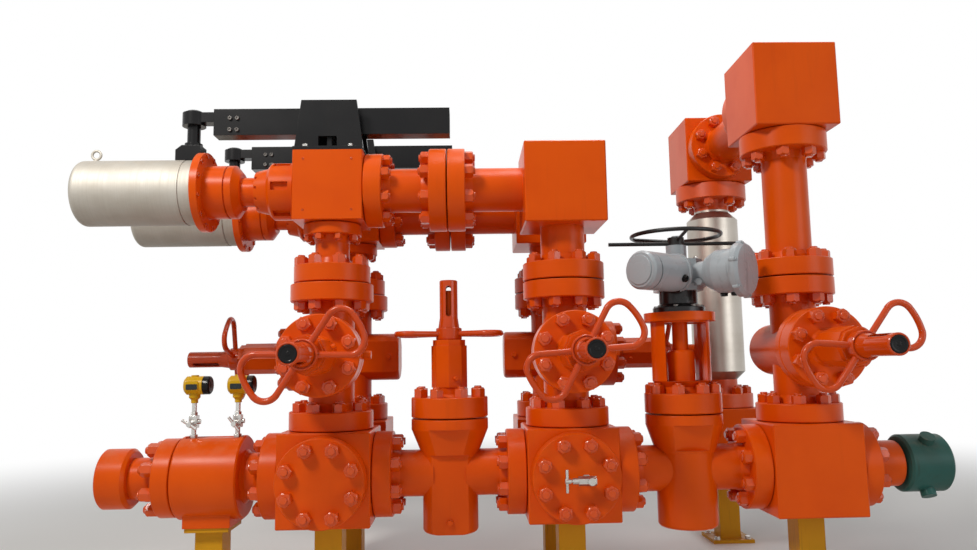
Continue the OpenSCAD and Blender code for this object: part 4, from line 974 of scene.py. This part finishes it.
# %% Window glass
def make_window_glass():
    material, tree, shader = new_material("Window Glass")
    shader.inputs["Specular IOR Level"].default_value = 0.3
    haze = clouds(tree, point_of(tree), 130.0, 5.0, 0.6)
    colour = mix(tree, soft_step(tree, haze, 0.3, 0.8), (0.010, 0.016, 0.018, 1),
                 (0.022, 0.030, 0.030, 1))
    feed(tree, shader.inputs["Base Color"], colour)
    feed(tree, shader.inputs["Roughness"], product(tree, haze, 0.25))
    return material


WINDOW_GLASS = make_window_glass()


# %% Panes
def rounded_corners(width, height, radius, steps=5):
    points = []
    for sx, sy, start in ((1, 1, 0), (-1, 1, 90), (-1, -1, 180), (1, -1, 270)):
        for k in range(steps + 1):
            angle = math.radians(start + 90 * k / steps)
            points.append((sx * (width / 2 - radius) + radius * math.cos(angle),
                           sy * (height / 2 - radius) + radius * math.sin(angle)))
    return points


def pane(name, middle, width, height):
    outline = rounded_corners(width, height, PANE_CORNER)
    mesh = bpy.data.meshes.new(name)
    bm = bmesh.new()
    rows = []
    for inset, depth in PANE_ROWS:
        shrink_x, shrink_z = 1 - 2 * inset / width, 1 - 2 * inset / height
        rows.append([bm.verts.new((middle[0] + x * shrink_x, middle[1] - depth,
                                   middle[2] + z * shrink_z)) for x, z in outline])
    bridge(bm, rows)
    bmesh.ops.recalc_face_normals(bm, faces=bm.faces)
    bm.to_mesh(mesh)
    bm.free()
    keep(name, mesh, material=WINDOW_GLASS)
    print(name, "at", [round(part, 3) for part in middle])


GAUGE_PITCH, HEAD_Z, HEAD_END = 0.165, 0.8225, 0.0355
WINDOW_W, WINDOW_H, WINDOW_LOW, FRAME_Y = 0.042, 0.021, 0.005, -0.039
PANE_CORNER, PANE_T, PANE_BEVEL = 0.004, 0.0022, 0.0012
PANE_ROWS = [(0.0, SUNK), (0.0, PANE_T * 0.6), (PANE_BEVEL, PANE_T)]    # inset and depth
HEADS = {"left": GAUGE_X - GAUGE_PITCH / 2, "right": GAUGE_X + GAUGE_PITCH / 2}
for side, x in HEADS.items():
    pane(side + "_window", (x, FRAME_Y, HEAD_Z - WINDOW_LOW), WINDOW_W, WINDOW_H)


# %% Ribbed caps
RIB_POINTS, RIB_DEPTH, CAP_R, CAP_LENGTH = 48, 0.0012, 0.0346, 0.0262


def ribs(height):
    def ring(angle):
        wave = 1 if round(angle / (2 * math.pi / RIB_POINTS)) % 2 else 0
        return CAP_R - RIB_DEPTH * wave, height
    return ring


CAP = [(0.0325, 0.0), (0.0340, 0.001), ribs(0.002), ribs(0.021), (0.0325, 0.0235),
       (0.0290, CAP_LENGTH), (0.0130, CAP_LENGTH), (0.0120, CAP_LENGTH + 0.001)]
for side, x in HEADS.items():
    turned(side + "_head_cap", CAP, RIB_POINTS, (x + HEAD_END, 0, HEAD_Z), X,
           PLUG_BLACK)

# %% [markdown]
# ## Lids and plugs of the electric drive
# The motor ends in a shallow round lid, and its case has a threaded plug near the gear case.
# Two more plugs close the entries under the switch case. All are turned shapes on the drive's
# own axes, which are worked out here from the same angles as the CAD uses.

# %% Drive lid and plugs
MOTOR_TURN, PLUG_TILT = math.radians(218), math.radians(22)
MOTOR_WAY = Vector((math.cos(MOTOR_TURN), math.sin(MOTOR_TURN), 0))
ACROSS = Vector((-MOTOR_WAY.y, MOTOR_WAY.x, 0))
WORM_OFFSET, MOTOR_REACH, MOTOR_R, PLUG_REACH = 0.045, 0.285, 0.072, 0.108
SWITCH_R = 0.102 * 0.82       # the neck behind the switch case
LID = [(0.0555, SUNK), (0.0555, 0.0030), (0.0540, 0.0046), (0.0500, 0.0052), (0.0100, 0.0052)]
HEX_PLUG = [(0.015, -0.003), (0.015, 0.003), hexagon(0.024, 0.003), hexagon(0.024, 0.011, 0.0014),
            (0.0105, 0.0115), (0.0060, 0.0115), (0.0060, 0.0080)]
motor = DRIVE + WORM_OFFSET * ACROSS
plug_way = ACROSS * math.cos(PLUG_TILT) - Vector(Z) * math.sin(PLUG_TILT)
turned("motor_lid", LID, 48, motor + MOTOR_WAY * MOTOR_REACH, MOTOR_WAY, DRIVE_GREY)
turned("motor_plug", HEX_PLUG, TWELVE, motor + MOTOR_WAY * PLUG_REACH + plug_way * MOTOR_R,
       plug_way, PLUG_BLACK)
for number, reach in ((1, 0.190), (2, 0.232)):
    place = DRIVE - SWITCH_R * Vector(Z) + SWITCH_WAY * reach
    turned("switch_plug_%d" % number, HEX_PLUG, TWELVE, place, minus(Z), PLUG_BLACK)

# %% [markdown]
# ## Floor and background
# The floor is pale and keeps the skid's shadow. Farther out it fades to a white glow. Rays from
# the camera, and rays that metal or glass send on, see that glow at a strength of one, which is
# white. Other rays get much less of it, so that the background adds little light to the skid.

# %% Who is looking
SOFT_LIGHT = 0.20             # strength of the background for rays that only carry light


def seen_white(tree):
    path = put(tree, "ShaderNodeLightPath").outputs
    seen = calculate(tree, "MAXIMUM", path["Is Camera Ray"], path["Is Glossy Ray"])
    seen = calculate(tree, "MAXIMUM", seen, path["Is Transmission Ray"])
    kept = product(tree, calculate(tree, "SUBTRACT", 1.0, seen), SOFT_LIGHT)
    return calculate(tree, "ADD", seen, kept)


print("light from the background:", SOFT_LIGHT)


# %% Floor that fades to white
FLOOR_HALF, FADE_START, FADE_END = 30.0, 2.5, 7.0
FLOOR_TONE = (0.80, 0.79, 0.77, 1)
WHITE = (1, 1, 1, 1)


def make_floor():
    mesh = bpy.data.meshes.new("floor")
    mesh.from_pydata(square_at(0, 0, 0, FLOOR_HALF), [], [(0, 1, 2, 3)])
    floor = new_object("floor", mesh)
    material, tree, shader = new_material("Pale Floor")
    shader.inputs["Base Color"].default_value = FLOOR_TONE
    shader.inputs["Roughness"].default_value = 0.6
    reach = put(tree, "ShaderNodeVectorMath", {0: point_of(tree)}, operation="LENGTH")
    fade = soft_step(tree, reach.outputs["Value"], FADE_START, FADE_END)
    glow = put(tree, "ShaderNodeEmission", {"Color": WHITE, "Strength": seen_white(tree)})
    blend = put(tree, "ShaderNodeMixShader", {0: fade, 1: shader.outputs[0], 2: glow.outputs[0]})
    feed(tree, tree.nodes["Material Output"].inputs["Surface"], blend.outputs[0])
    mesh.materials.append(material)
    print("floor of", 2 * FLOOR_HALF, "m")


make_floor()


# %% World
def make_world():
    world = bpy.data.worlds.new("studio")
    bpy.context.scene.world = world
    world.use_nodes = True
    background = world.node_tree.nodes["Background"]
    background.inputs["Color"].default_value = WHITE
    feed(world.node_tree, background.inputs["Strength"], seen_white(world.node_tree))
    print("world:", world.name)


make_world()

# %% [markdown]
# ## Lamps
# The photograph has one bright light from the upper left, close enough to leave soft shadows
# under every flange. A large key lamp stands there, a weak one fills in from the right, and a
# third above draws the light lines along the tops of the cylinders. Together they light the
# skid at a plain level, so that a colour looks about as it is written.

# %% Three lamps
def area_light(name, place, target, size, power, colour=(1, 1, 1)):
    data = bpy.data.lights.new(name, "AREA")
    data.shape = "RECTANGLE"
    data.size, data.size_y = size
    data.energy = power
    data.color = colour
    lamp = new_object(name, data)
    lamp.location = place
    lamp.rotation_euler = (Vector(target) - Vector(place)).to_track_quat("-Z", "Y").to_euler()
    print(name, "lamp,", power, "W")


area_light("key", (-2.8, -2.8, 4.2), (-0.1, 0.2, 1.0), (1.1, 0.8), 140, (1.0, 0.97, 0.92))
area_light("fill", (3.6, -2.8, 1.7), (0.3, 0.0, 1.0), (2.0, 2.0), 34, (0.96, 0.98, 1.0))
area_light("top", (0.2, 0.2, 4.2), (0.0, 0.3, 0.9), (2.4, 0.6), 48)

# %% [markdown]
# ## Camera
# The camera stands where the photograph was taken. Its place, angles and lens come from a fit of
# the columns, the run and the rims of the flanges, so a render and the photograph can be laid
# over each other. The three directions of a camera are built by hand: ahead, to the right and
# up. Then the right and the up are rolled.

# %% Camera from yaw, pitch and roll
CAMERA_PLACE = (-0.380, -2.971, 0.889)
CAMERA_YAW = math.radians(1.663)       # towards the outlet
CAMERA_PITCH = math.radians(6.576)     # up
CAMERA_ROLL = math.radians(0.951)
LENS_MM, SENSOR_MM = 28.132, 36.0


def make_camera():
    level = math.cos(CAMERA_PITCH)
    ahead = Vector((math.sin(CAMERA_YAW) * level, math.cos(CAMERA_YAW) * level,
                    math.sin(CAMERA_PITCH)))
    right = Vector((math.cos(CAMERA_YAW), -math.sin(CAMERA_YAW), 0))
    up = right.cross(ahead)
    right_rolled = right * math.cos(CAMERA_ROLL) - up * math.sin(CAMERA_ROLL)
    up_rolled = up * math.cos(CAMERA_ROLL) + right * math.sin(CAMERA_ROLL)
    data = bpy.data.cameras.new("camera")
    data.lens, data.sensor_width = LENS_MM, SENSOR_MM
    camera = new_object("camera", data)
    turn = Matrix((right_rolled, up_rolled, -ahead)).transposed()
    camera.matrix_world = Matrix.Translation(CAMERA_PLACE) @ turn.to_4x4()
    bpy.context.scene.camera = camera
    print("camera at", CAMERA_PLACE, "with a lens of", LENS_MM, "mm")


make_camera()
bpy.context.scene.view_settings.view_transform = "Standard"
